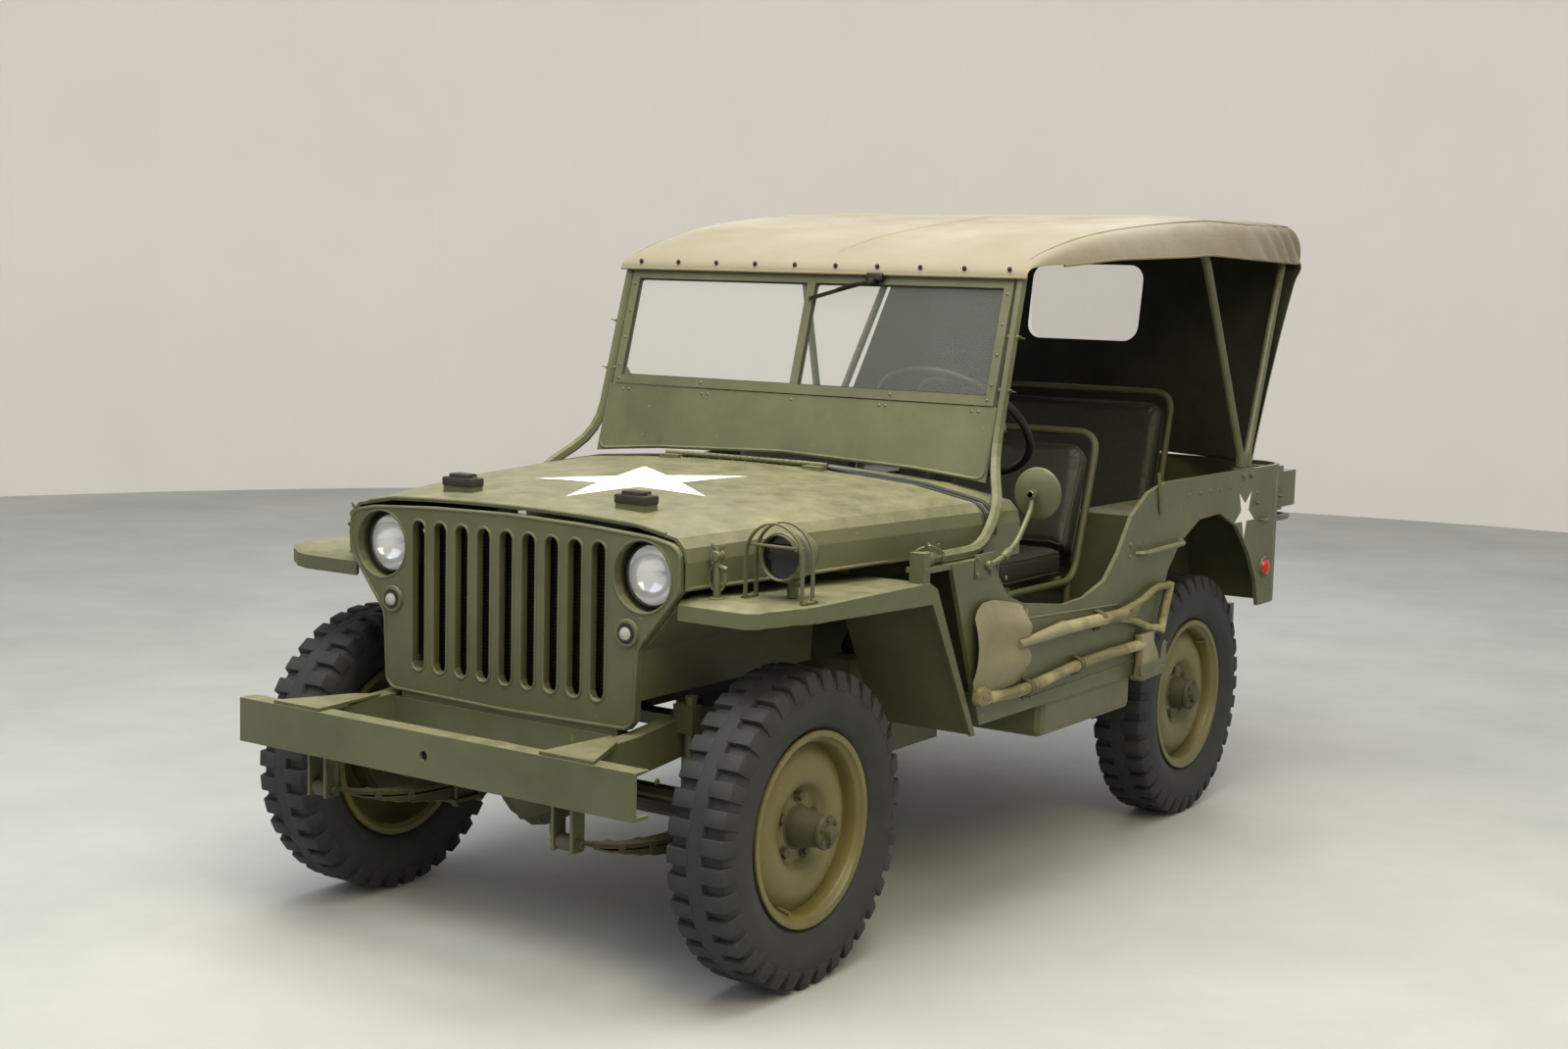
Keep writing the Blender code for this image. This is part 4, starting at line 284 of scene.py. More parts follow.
def slab(outline, axis, start, end, bevel=0.0):  # an outline pushed along one axis
    part = bmesh.new()
    spots = {"X": lambda a, b: (start, a, b), "Y": lambda a, b: (a, start, b), "Z": lambda a, b: (a, b, start)}
    face = part.faces.new([part.verts.new(spots[axis](a, b)) for a, b in outline])
    pushed = bmesh.ops.extrude_face_region(part, geom=[face])["geom"]
    way = Vector({"X": (1, 0, 0), "Y": (0, 1, 0), "Z": (0, 0, 1)}[axis]) * (end - start)
    bmesh.ops.translate(part, vec=way, verts=[v for v in pushed if isinstance(v, bmesh.types.BMVert)])
    bmesh.ops.recalc_face_normals(part, faces=part.faces)
    return softened(part, bevel)


def tube(route, radius, sides=3, closed=False):  # a bent round bar, from a curve with a round bevel
    curve = bpy.data.curves.new("tube", "CURVE")
    curve.dimensions = "3D"
    curve.bevel_depth = radius
    curve.bevel_resolution = sides
    curve.use_fill_caps = not closed
    line = curve.splines.new("POLY")
    line.points.add(len(route) - 1)
    for point, place in zip(line.points, route):
        point.co = (*place, 1.0)
    line.use_cyclic_u = closed
    source = linked(bpy.data.objects.new("tube", curve))
    bpy.context.view_layer.update()
    part = bmesh.new()
    part.from_mesh(source.evaluated_get(bpy.context.evaluated_depsgraph_get()).to_mesh())
    bpy.data.objects.remove(source, do_unlink=True)
    bpy.data.curves.remove(curve)
    return part


def bent(route, radius, steps=5):  # each inner corner becomes a short arc
    points = [Vector(place) for place in route]
    result = [points[0]]
    for before, corner, after in zip(points, points[1:], points[2:]):
        reach = min(radius, (before - corner).length * 0.45, (after - corner).length * 0.45)
        first = corner + (before - corner).normalized() * reach
        last = corner + (after - corner).normalized() * reach
        for step in range(steps + 1):
            share = step / steps
            result.append(first.lerp(corner, share).lerp(corner.lerp(last, share), share))
    return result + [points[-1]]


def ribbon(route, across, thick):  # a flat strap along a route, widened along one vector
    part = bmesh.new()
    corners = [part.verts.new(Vector(place) - Vector(across) / 2) for place in route]
    edges = [part.edges.new(pair) for pair in zip(corners, corners[1:])]
    pushed = bmesh.ops.extrude_edge_only(part, edges=edges)["geom"]
    bmesh.ops.translate(part, vec=across, verts=[v for v in pushed if isinstance(v, bmesh.types.BMVert)])
    bmesh.ops.recalc_face_normals(part, faces=part.faces)
    bmesh.ops.solidify(part, geom=part.faces[:], thickness=thick)
    bmesh.ops.recalc_face_normals(part, faces=part.faces)
    return part


def hexHead(radius, height):  # a bolt head on its washer, on the plane z = 0
    part = bmesh.new()
    bmesh.ops.create_cone(part, cap_ends=True, segments=6, radius1=radius, radius2=radius, depth=height)
    bmesh.ops.translate(part, vec=(0, 0, height / 2), verts=part.verts)
    top = [e for e in part.edges if all(v.co.z > height * 0.9 for v in e.verts)]
    bmesh.ops.bevel(part, geom=top, offset=radius * 0.16, segments=1, profile=0.5, affect="EDGES", material=-1)
    absorb(part, bar((0, 0, 0), (0, 0, height * 0.28), radius * 1.45, 12))
    return part


def domeHead(radius, rise=0.5):  # a rivet's or screw's round head
    part = bmesh.new()
    bmesh.ops.create_uvsphere(part, u_segments=10, v_segments=6, radius=radius)
    bmesh.ops.scale(part, vec=(1, 1, rise), verts=part.verts)
    return part


def wingNut(size):
    part = bmesh.new()
    absorb(part, bar((0, 0, 0), (0, 0, size * 0.9), size * 0.55, 12, size * 0.40))
    for way in (-1, 1):
        wing = [(way * size * 0.3, 0.1 * size), (way * size * 1.3, 0.7 * size), (way * size * 1.5, 1.5 * size),
                (way * size * 1.1, 1.7 * size), (way * size * 0.3, 0.9 * size)]
        absorb(part, slab(wing, "Y", -size * 0.14, size * 0.14, size * 0.05))
    return part


def starOutline(radius, turn):
    spots = []
    for step in range(10):
        reach = radius if step % 2 == 0 else radius * 0.382
        angle = math.radians(turn + 36 * step)
        spots.append((reach * math.cos(angle), reach * math.sin(angle)))
    return spots


def finish(name, shape, material, body="car", angle=38, replaces=()):
    bmesh.ops.remove_doubles(shape, verts=shape.verts, dist=2e-6)
    bmesh.ops.recalc_face_normals(shape, faces=shape.faces)
    made = objectOf(name, shape, material)
    made.data.shade_smooth()
    made.data.set_sharp_from_angle(angle=math.radians(angle))
    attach(made, body)
    if replaces:
        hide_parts(*replaces)


def settled(made):  # applies an object's modifiers
    bpy.context.view_layer.update()
    fresh = bpy.data.meshes.new_from_object(made.evaluated_get(bpy.context.evaluated_depsgraph_get()))
    made.modifiers.clear()
    made.data = fresh


def surfaceOf(nodeName):  # where a ray meets a CAD node
    shape = bmesh.new()
    shape.from_mesh(nodes[nodeName].data)
    bmesh.ops.remove_doubles(shape, verts=shape.verts, dist=1e-5)
    tree = BVHTree.FromBMesh(shape)
    shape.free()
    return tree


def mirrorX(spot):
    return (-spot[0], *spot[1:])


def wholeTurn(count):
    return [math.tau * k / count for k in range(count)]


def upright(x, y, z, radius, angles, tall=None):  # places on a round or oval that faces forward
    return [(x + radius * math.cos(a), y, z + (tall or radius) * math.sin(a)) for a in angles]


# CAD nodes that keep their shape
finishes = [
    (olivePaint, ["chassis_frame", "cowl", "fender_left", "fender_right", "front_bumper", "glass_frame", "grille",
                  "hood", "tub", "windshield_frame"]),
    (runningGear, ["front_axle", "rear_axle", "knuckle_left", "knuckle_right", "exhaust"]),
    (darkSteel, ["engine_block", "gearbox_case", "front_propshaft", "rear_propshaft", "radiator", "tie_rod",
                 "steering_column", "wiper"]),
    (paneGlass, ["window_pane_left", "window_pane_right"]),
]
for material, names in finishes:
    for name in names:
        nodes[name].data.materials.clear()
        nodes[name].data.materials.append(material)
print("CAD nodes painted")

# Camera, light and stage
lens = dict(place=(3.246, -5.02675, 1.595), yaw=34.35, pitch=-6.66, roll=1.41, focal=48.98, shiftY=-0.0031)
yaw, pitch, roll = (math.radians(lens[k]) for k in ("yaw", "pitch", "roll"))
right = Vector((math.cos(yaw), math.sin(yaw), 0))
ahead = Vector((-math.sin(yaw) * math.cos(pitch), math.cos(yaw) * math.cos(pitch), math.sin(pitch)))
above = right.cross(ahead)
turnedRight = right * math.cos(roll) + above * math.sin(roll)
turnedUp = above * math.cos(roll) - right * math.sin(roll)
cameraData = bpy.data.cameras.new("photo camera")
cameraData.sensor_width = 36.0
cameraData.lens = lens["focal"]
cameraData.shift_y = lens["shiftY"]
cameraData.dof.use_dof = False
camera = linked(bpy.data.objects.new("photo camera", cameraData))
axes = Matrix((turnedRight, turnedUp, -ahead)).transposed().to_4x4()
camera.matrix_world = Matrix.Translation(Vector(lens["place"])) @ axes
bpy.context.scene.camera = camera

studio = dict(sky="#e8ecf0", skyPower=0.90, floor="#b0b4b1", floorDeep="#a2a6a3", wall="#cfcac5", wallDeep="#d3cfca",
              wallGlow=0.24, reach=14.0, wallRadius=9.5, wallTall=9.0, wallMiddle=4.4, floorZ=-0.0005)
world = bpy.data.worlds.new("studio")
bpy.context.scene.world = world
world.use_nodes = True
skyLight = world.node_tree.nodes["Background"].inputs
skyLight["Color"].default_value = hexColour(studio["sky"])
skyLight["Strength"].default_value = studio["skyPower"]
lamps = [
    # name, place, size, power, aims at, colour
    ("overhead", (0.4, -1.4, 5.4), 4.0, 350, (0, -0.3, 0), "#fffaf0"),
    ("left side", (4.0, -3.2, 4.6), 2.6, 150, (0.4, -0.9, 0.9), "#ffe6b4"),
    ("front", (-1.4, -6.2, 5.6), 4.5, 85, (0, -0.6, 1.0), "#e6eeff"),
    ("behind", (-2.5, 5.5, 3.6), 3.5, 60, (0, 0, 1.0), "#f4f4f4"),
]
for name, place, size, power, aim, colour in lamps:
    light = bpy.data.lights.new(name, "AREA")
    light.size = size
    light.energy = power
    light.color = hexColour(colour)[:3]
    lamp = linked(bpy.data.objects.new(name, light))
    lamp.location = place
    lamp.rotation_euler = (Vector(aim) - Vector(place)).to_track_quat("-Z", "Y").to_euler()
bpy.context.scene.view_settings.view_transform = "Standard"

floorPaint = plainFinish("poured concrete", studio["floor"], studio["floorDeep"], 1.1, 0.62, relief=0.0004)
wallPaint = plainFinish("pale backdrop", studio["wall"], studio["wallDeep"], 0.8, 0.9, relief=0.0002)
wallShader = wallPaint.node_tree.nodes["Principled BSDF"].inputs
wallShader["Emission Color"].default_value = hexColour(studio["wall"])
wallShader["Emission Strength"].default_value = studio["wallGlow"]
ground = bmesh.new()
bmesh.ops.create_grid(ground, x_segments=1, y_segments=1, size=studio["reach"])
floor = objectOf("floor", ground, floorPaint)
floor.location.z = studio["floorZ"]
wallShape = bmesh.new()
bmesh.ops.create_cone(wallShape, cap_ends=False, segments=64, radius1=studio["wallRadius"],
                      radius2=studio["wallRadius"], depth=studio["wallTall"])
bmesh.ops.translate(wallShape, vec=(0, 0, studio["wallMiddle"]), verts=wallShape.verts)
bmesh.ops.reverse_faces(wallShape, faces=wallShape.faces)
backdrop = objectOf("backdrop", wallShape, wallPaint)
print("stage set")

# Tyres and wheels
tyre = dict(lugs=36, width=0.0375, steps=96)
tyreHalf = [(0.0515, 0.2105), (0.0560, 0.2265), (0.0650, 0.2330), (0.0735, 0.2450), (0.0795, 0.2650),
            (0.0815, 0.2680), (0.0822, 0.2900), (0.0815, 0.3050), (0.0795, 0.3160), (0.0750, 0.3290),
            (0.0670, 0.3420), (0.0500, 0.3460), (0.0240, 0.3465), (0.0200, 0.3575), (0.0, 0.3592)]
lugOutline = [(0.014, 0.3590), (0.066, 0.3592), (0.0725, 0.3560), (0.0790, 0.3350), (0.0820, 0.3150),
              (0.0790, 0.3120), (0.0640, 0.3350), (0.0500, 0.3420), (0.014, 0.3420)]


def tyreShape():
    shape = turned(tyreHalf + [(-x, r) for x, r in reversed(tyreHalf[:-1])], tyre["steps"])
    lug = slab(lugOutline, "Y", -tyre["width"] / 2, tyre["width"] / 2, 0.0022)
    bmesh.ops.recalc_face_normals(lug, faces=lug.faces)
    pitch = math.tau / tyre["lugs"]
    flip = Matrix.Rotation(math.pi, 4, "Z")
    places = [Matrix.Rotation(pitch * k, 4, "X") for k in range(tyre["lugs"])]
    places += [Matrix.Rotation(pitch * (k + 0.5), 4, "X") @ flip for k in range(tyre["lugs"])]
    scatter(shape, lug, places)
    return shape


wheel = dict(nuts=5, nutCircle=0.070, nutPlane=0.0165, steps=72)
rimOutline = [(0.022, 0.046), (0.017, 0.062), (0.016, 0.080), (0.022, 0.0885), (0.036, 0.096), (0.0435, 0.108),
              (0.0455, 0.128), (0.0435, 0.150), (0.034, 0.170), (0.022, 0.184), (0.018, 0.1940), (0.030, 0.1955),
              (0.050, 0.1960), (0.0560, 0.2000), (0.0600, 0.2055), (0.0665, 0.2085), (0.0680, 0.2150),
              (0.0675, 0.2225), (0.0640, 0.2235), (0.0590, 0.2225), (0.0545, 0.2190), (0.0525, 0.2077),
              (0.030, 0.2065), (0.020, 0.2020), (-0.020, 0.2020), (-0.030, 0.2065), (-0.0525, 0.2077),
              (-0.0545, 0.2190), (-0.0590, 0.2235), (-0.0675, 0.2225), (-0.0680, 0.2150), (-0.0665, 0.2085),
              (-0.0600, 0.2040), (-0.0560, 0.1985), (-0.030, 0.1955), (0.004, 0.1940), (0.014, 0.186),
              (0.026, 0.170), (0.0365, 0.150), (0.0385, 0.128), (0.0365, 0.110), (0.029, 0.099), (0.013, 0.090),
              (0.008, 0.080), (0.009, 0.062), (0.010, 0.046)]
drum = [(0.0400, 0.0470), (0.0230, 0.0480), (0.0210, 0.0520), (0.0080, 0.0540), (0.0060, 0.1210), (-0.0020, 0.1268),
        (-0.0465, 0.1268), (-0.0465, 0.1170), (-0.0040, 0.1170), (-0.0040, 0.0)]
frontHub = [(0.1245, 0.0), (0.1245, 0.014), (0.1220, 0.0175), (0.1080, 0.0185), (0.1060, 0.0380), (0.1030, 0.0400),
            (0.0960, 0.0400), (0.0930, 0.0370), (0.0550, 0.0410)] + drum
rearHub = [(0.0945, 0.0), (0.0945, 0.020), (0.0920, 0.0240), (0.0800, 0.0260), (0.0780, 0.0440), (0.0750, 0.0460),
           (0.0680, 0.0460), (0.0650, 0.0420)] + drum


def wheelShape():
    shape = turned(rimOutline, wheel["steps"])
    absorb(shape, bar((0.030, 0.0, 0.186), (0.062, 0.0, 0.192), 0.0045, 10))  # the valve's stem
    return shape


def ringOf(count, radius, offset):
    return [facing((offset, radius * math.cos(a), radius * math.sin(a)), (1, 0, 0)) for a in wholeTurn(count)]


def dressWheel(name, body, spot, tyreNode, discNode, hub=None):
    finish("tread_" + name, moved(tyreShape(), spot), tyreRubber, body, replaces=(tyreNode,))
    finish("disc_" + name, moved(wheelShape(), spot), wheelPaint, body, replaces=(discNode,))
    if hub:
        outline, flange, reach = hub
        shape = turned(outline, 48, closed=False)
        scatter(shape, hexHead(0.0055, 0.006), ringOf(6, flange, reach))
        finish("hub_" + name, moved(shape, spot), runningGear, body)
    nuts = bmesh.new()
    scatter(nuts, hexHead(0.0115, 0.015), ringOf(wheel["nuts"], wheel["nutCircle"], wheel["nutPlane"]))
    finish("nuts_" + name, moved(nuts, spot), runningGear, body)


corners = [
    # name, side of the car, lengthwise place, hub, its bolts' circle, their plane
    ("front_left", 1, car["front"], frontHub, 0.030, 0.106),
    ("front_right", -1, car["front"], frontHub, 0.030, 0.106),
    ("rear_left", 1, car["rear"], rearHub, 0.036, 0.078),
    ("rear_right", -1, car["rear"], rearHub, 0.036, 0.078),
]
for name, side, wheelY, hubLine, boltCircle, flange in corners:
    spot = Matrix.Translation((side * car["wheelX"], wheelY, car["axleZ"]))
    spot = spot @ Matrix.Rotation(0.0 if side > 0 else math.pi, 4, "Z") @ Matrix.Rotation(chance.uniform(0, 6), 4, "X")
    dressWheel(name, "wheel_" + name, spot, "tyre_" + name, "wheel_" + name, (hubLine, boltCircle, flange))
spare = dict(x=-0.22, y=car["last"] - 0.0825, z=0.87)
spareSpot = Matrix.Translation(tuple(spare.values())) @ Matrix.Rotation(math.pi / 2, 4, "Z")
dressWheel("spare", "car", spareSpot, "spare_tyre", "spare_wheel")
print("wheels made")

# Grille, lamps and radiator
slots = dict(count=9, span=0.546, low=0.631, high=0.992, wide=0.043, lip=0.0036)
lips = bmesh.new()
for index in range(slots["count"]):
    middle = slots["span"] * (index / (slots["count"] - 1) - 0.5)
    half = slots["wide"] / 2 + 0.001
    loop = []
    for centreZ, start in ((slots["high"] - half, 0), (slots["low"] + half, 180)):
        for step in range(9):
            angle = math.radians(start + 180 * step / 8)
            loop.append((middle + half * math.cos(angle), car["grille"] + 0.0005, centreZ + half * math.sin(angle)))
    absorb(lips, tube(loop, slots["lip"], 2, closed=True))
edge = [(0.0, 1.027), (0.230, 1.022), (0.420, 1.011), (0.474, 1.000), (0.488, 0.991), (0.4955, 0.978),
        (0.4965, 0.900), (0.3835, 0.762), (0.377, 0.600), (0.357, 0.581), (0.0, 0.575)]
edge += [mirrorX(s) for s in reversed(edge[1:-1])]
absorb(lips, tube(bent([(x, car["grille"] + 0.0015, z) for x, z in edge + edge[:1]], 0.02, 4), 0.0045, 2))
headlamp = dict(x=0.396, z=0.924, opening=0.0815, sunk=0.012)
for side in (1, -1):
    ring = upright(side * headlamp["x"], car["grille"] + 0.001, headlamp["z"], headlamp["opening"], wholeTurn(40))
    absorb(lips, tube(ring, slots["lip"], 2, closed=True))
finish("grille_lips", lips, olivePaint)

toFront = Matrix.Rotation(-math.pi / 2, 4, "Z")  # a turned form's +X looks forward
glassLine = [(-0.0030, 0.0), (-0.0045, 0.018), (-0.0085, 0.036), (-0.0150, 0.052), (-0.0210, 0.0660),
             (-0.0240, 0.0672), (-0.0260, 0.0672), (-0.0180, 0.050), (-0.0115, 0.034), (-0.0075, 0.017),
             (-0.0060, 0.0)]
bowlLine = [(-0.0265, 0.0668), (-0.0400, 0.0600), (-0.0560, 0.0450), (-0.0660, 0.0260), (-0.0690, 0.0060),
            (-0.0730, 0.0060), (-0.0700, 0.0280), (-0.0590, 0.0480), (-0.0420, 0.0632), (-0.0290, 0.0695)]
rimLine = [(-0.0200, 0.0664), (-0.0180, 0.0690), (-0.0190, 0.0716), (-0.0240, 0.0724), (-0.0300, 0.0724),
           (-0.0300, 0.0700), (-0.0255, 0.0664)]
bucketLine = [(-0.0103, 0.0812), (-0.0103, 0.0876), (-0.0300, 0.0878), (-0.0520, 0.0830), (-0.0800, 0.0520),
              (-0.0895, 0.0), (-0.0860, 0.0), (-0.0770, 0.0500), (-0.0510, 0.0795), (-0.0300, 0.0812)]
bezelLine = [(0.0062, 0.0235), (0.0075, 0.0265), (0.0062, 0.0310), (0.0, 0.0330), (0.0, 0.0235)]
socketLine = [(0.0064, 0.0140), (0.0064, 0.0228), (0.0072, 0.0228), (0.0078, 0.0185), (0.0072, 0.0140)]
capLine = [(0.0190, 0.0), (0.0178, 0.0070), (0.0140, 0.0125), (0.0100, 0.0150), (0.0066, 0.0150), (0.0066, 0.0)]
markerLamp = dict(x=0.357, z=0.795)
for name, side in (("left", 1), ("right", -1)):
    spot = Matrix.Translation((side * headlamp["x"], car["grille"] + headlamp["sunk"], headlamp["z"])) @ toFront
    glass = turned(glassLine, 40, closed=False, matrix=spot)
    finish("headlamp_glass_" + name, glass, lampGlass, replaces=("headlamp_" + name,))
    finish("headlamp_bowl_" + name, turned(bowlLine, 40, matrix=spot), silvered)
    finish("headlamp_rim_" + name, turned(rimLine, 40, matrix=spot), darkSteel)
    finish("headlamp_shell_" + name, turned(bucketLine, 40, closed=False, matrix=spot), olivePaint)
    bulb = bmesh.new()
    bmesh.ops.create_uvsphere(bulb, u_segments=16, v_segments=10, radius=0.011)
    moved(bulb, spot @ Matrix.Translation((-0.044, 0, 0)))
    absorb(bulb, turned([(-0.050, 0.008), (-0.069, 0.008), (-0.069, 0.005), (-0.050, 0.005)], 16, matrix=spot))
    finish("headlamp_bulb_" + name, bulb, lampGlass)
    marker = Matrix.Translation((side * markerLamp["x"], car["grille"], markerLamp["z"])) @ toFront
    finish("marker_ring_" + name, turned(bezelLine, 28, matrix=marker), olivePaint)
    finish("marker_socket_" + name, turned(socketLine, 28, matrix=marker), sealRubber)
    finish("marker_glass_" + name, turned(capLine, 24, closed=False, matrix=marker), lampGlass)

fins = bmesh.new()
thin = block((-0.276, 0.0, -0.0009), (0.276, 0.004, 0.0009))
scatter(fins, thin, [Matrix.Translation((0, car["grille"] + 0.0305, 0.612 + 0.0085 * k)) for k in range(43)])
for index in range(28):
    x = -0.270 + 0.020 * index
    absorb(fins, block((x - 0.0022, car["grille"] + 0.0315, 0.606), (x + 0.0022, car["grille"] + 0.0335, 0.980)))
finish("radiator_fins", fins, darkSteel)
print("front made")

# Hood: star, edges, wooden blocks, catches
hoodTree = surfaceOf("hood")


def onHood(x, y, lift):  # a spot just above the hood's top
    hit = hoodTree.ray_cast(Vector((x, y, 1.5)), Vector((0, 0, -1)))
    return (x, y, hit[0].z + lift) if hit[0] else (x, y, 1.06 + lift)


star = dict(x=0.030, y=-0.948, radius=0.276, lift=0.0012)
flat = bmesh.new()
flat.faces.new([flat.verts.new((star["x"] + x, star["y"] + y, 0)) for x, y in starOutline(star["radius"], -90)])
for direction in (Vector((1, 0, 0)), Vector((0, 1, 0))):
    for step in range(-11, 12):
        spot = Vector((star["x"], star["y"], 0)) + direction * 0.025 * step
        bmesh.ops.bisect_plane(flat, geom=flat.verts[:] + flat.edges[:] + flat.faces[:], plane_co=spot,
                               plane_no=direction)
for vert in flat.verts:
    vert.co = onHood(vert.co.x, vert.co.y, star["lift"])
bmesh.ops.recalc_face_normals(flat, faces=flat.faces)
bmesh.ops.solidify(flat, geom=flat.faces[:], thickness=0.0006)
finish("hood_star", flat, whitePaint, "hood", angle=60)

blockSpot = dict(x=0.265, y=-1.258)
hoodBlocks = bmesh.new()
for side in (1, -1):
    x = side * blockSpot["x"]
    top = onHood(x, blockSpot["y"], 0.0)[2]
    absorb(hoodBlocks, block((x - 0.048, -1.281, top - 0.004), (x + 0.048, -1.235, top + 0.017), 0.004))
    absorb(hoodBlocks, block((x - 0.030, -1.276, top + 0.014), (x + 0.030, -1.240, top + 0.026), 0.003))
    scatter(hoodBlocks, domeHead(0.006), [Matrix.Translation((x + 0.036 * k, blockSpot["y"], top + 0.018))
                                          for k in (-1, 1)])
finish("hood_blocks", hoodBlocks, darkWood, "hood")

hinge = dict(y=-0.4668, z=1.1015, radius=0.0068)
trim = bmesh.new()
for index in range(21):  # the long hinge's knuckles
    x = -0.195 + 0.0195 * index
    absorb(trim, bar((x - 0.0085, hinge["y"], hinge["z"]), (x + 0.0085, hinge["y"], hinge["z"]), hinge["radius"], 12))
finish("hood_hinge_barrel", trim, olivePaint)
leaf = bmesh.new()
scatter(leaf, domeHead(0.0045), [Matrix.Translation(onHood(-0.19 + 0.042 * k, -0.492, 0.001)) for k in range(10)])
absorb(leaf, tube([onHood(0.0225 * index, -1.3865, 0.0) for index in range(-20, 21)], 0.0042, 2))
for side in (1, -1):
    sideRow = [(side * (0.512 + (0.722 - 0.512) * s ** 0.8), -1.387 + 0.915 * s, 0.905 + 0.026 * s) for s in
               (0.0, 0.15, 0.34, 0.5, 0.67, 0.85, 1.0)]
    absorb(leaf, tube([(x - side * 0.004, y, z + 0.003) for x, y, z in sideRow], 0.0045, 2))
finish("hood_edges", leaf, olivePaint, "hood")

catch = dict(x=0.548, y=-1.330, top=0.985)
catches = bmesh.new()
for side in (1, -1):
    x, y, top = side * catch["x"], catch["y"], catch["top"]
    absorb(catches, bar((x, y, 0.872), (x, y, top), 0.0085, 14, bevel=0.002))
    absorb(catches, bar((x, y, 0.880), (x, y, 0.888), 0.018, 14, bevel=0.002))
    absorb(catches, bar((x, -1.344, 0.978), (x, -1.316, 0.978), 0.012, 12, bevel=0.002))
    absorb(catches, bar((x + side * 0.026, y, 0.950), (x - side * 0.014, y, 0.962), 0.006, 10))
    absorb(catches, wingNut(0.012), facing((x, y, top), (0, 0, 1)))
    absorb(catches, tube(upright(x, y, 0.930, 0.022, wholeTurn(20), 0.030), 0.0032, 2, closed=True))
finish("hood_catches", catches, olivePaint)

# Black rubber along the cowl, between the hood and the windshield
section = [(0.722, 0.960), (0.720, 0.995), (0.712, 1.020), (0.690, 1.038), (0.640, 1.0505), (0.520, 1.065),
           (0.346, 1.078), (0.173, 1.086), (0.0, 1.0885)]
section += [mirrorX(s) for s in reversed(section[:-1])]
seal = bmesh.new()
cowlTree = surfaceOf("cowl")
for y, radius in ((car["cowl"] + 0.012, 0.0055), (car["cowl"] + 0.046, 0.0070)):
    row = []
    for x, z in section:
        away = Vector((x, 0, z - 0.85)).normalized()
        hit = cowlTree.ray_cast(Vector((0, y, 0.85)) + away * 1.2, -away)
        row.append(hit[0] + away * radius * 0.5 if hit[0] else Vector((x, y, z)))
    absorb(seal, tube(bent(row, 0.02, 3), radius, 3))
finish("cowl_seal", seal, sealRubber)
print("hood made")

# Blackout lamp with its guard, on the left fender
drive = dict(x=0.665, y=-1.20975, z=0.885, rise=0.095, guard=0.076)
spot = Matrix.Translation((drive["x"], drive["y"], drive["z"] + drive["rise"])) @ toFront
drum = turned([(0.0500, 0.0480), (0.0530, 0.0520), (0.0500, 0.0550), (0.0250, 0.0545), (-0.0180, 0.0515),
               (-0.0420, 0.0400), (-0.0540, 0.0220), (-0.0580, 0.0)], 40, closed=False, matrix=spot)
absorb(drum, turned([(0.0490, 0.0480), (0.0430, 0.0480), (0.0420, 0.0530), (0.0490, 0.0535)], 40, matrix=spot))
x, y, z = drive["x"], drive["y"], drive["z"]
visor = upright(x, y - 0.052, z + drive["rise"], 0.050, [math.radians(20 + 14 * k) for k in range(11)])
absorb(drum, ribbon(visor, (0, -0.022, 0), 0.0022))
absorb(drum, bar((x, y, z + 0.002), (x, y, z + 0.045), 0.013, 16))
absorb(drum, bar((x, y, z + 0.034), (x, y, z + 0.043), 0.022, 6))
for deep in (-0.074, -0.034):  # the guard's two hoops
    arch = upright(x, y + deep, z + drive["rise"], drive["guard"], [math.radians(10 * k) for k in range(19)])
    hoop = [(x + drive["guard"], y + deep, z + 0.004)] + arch + [(x - drive["guard"], y + deep, z + 0.004)]
    absorb(drum, ribbon(hoop, (0, 0.011, 0), 0.0035))
for side in (1, -1):
    foot = x + side * 0.078
    absorb(drum, block((foot - 0.006, y - 0.078, z + 0.0005), (foot + 0.006, y - 0.024, z + 0.0065), 0.001))
absorb(drum, tube([(x - 0.074, y - 0.070, z + 0.120), (x + 0.074, y - 0.070, z + 0.120)], 0.0035, 2))
scatter(drum, hexHead(0.005, 0.004), [Matrix.Translation((x + a, y + b, z + 0.0065)) for a in (-0.078, 0.078)
                                      for b in (-0.068, -0.034)])
finish("blackout_drum", drum, olivePaint, replaces=("blackout_lamp",))
lensShape = turned([(0.0470, 0.0), (0.0460, 0.0300), (0.0445, 0.0478), (0.0400, 0.0478), (0.0400, 0.0)], 36,
                   closed=False, matrix=spot)
finish("blackout_lens", lensShape, blackLens)

# Windshield
screen = dict(y=-0.24975, z=1.257, lean=math.radians(15.86), rise=0.345, inner=0.620, edge=0.026)
screenPlace = Matrix.Translation((0, screen["y"], screen["z"])) @ Matrix.Rotation(-screen["lean"], 4, "X")
tall = screen["rise"] / math.cos(screen["lean"])


def onScreen(*spots):  # from the windshield's own plane, foot at z = 0
    return [screenPlace @ Vector(spot) for spot in spots]


trimShape = bmesh.new()
gasket = bmesh.new()
for side in (1, -1):
    low, high = 0.006 + screen["edge"], tall - 0.016 - screen["edge"]
    near, far = side * 0.013, side * (screen["inner"] - screen["edge"])
    for y in (-0.0035, 0.0035):
        loop = [(near, y, low), (far, y, low), (far, y, high), (near, y, high), (near, y, low)]
        absorb(gasket, tube(onScreen(*bent(loop, 0.012, 3)), 0.0030, 2))
finish("glass_gaskets", gasket, sealRubber)
fittings = [(x, 0.020) for x in (-0.60, -0.31, 0.31, 0.60)]
fittings += [(x, -0.010) for x in (-0.58, -0.56, -0.30, -0.28, 0.0, 0.28, 0.30, 0.56, 0.58)]
fittings += [(side * 0.606, z) for side in (1, -1) for z in (0.06, 0.14, 0.22, 0.30)]
places = [screenPlace @ facing((x, -0.0095 if z > 0 else -0.006, z), (0, -1, 0)) for x, z in fittings]
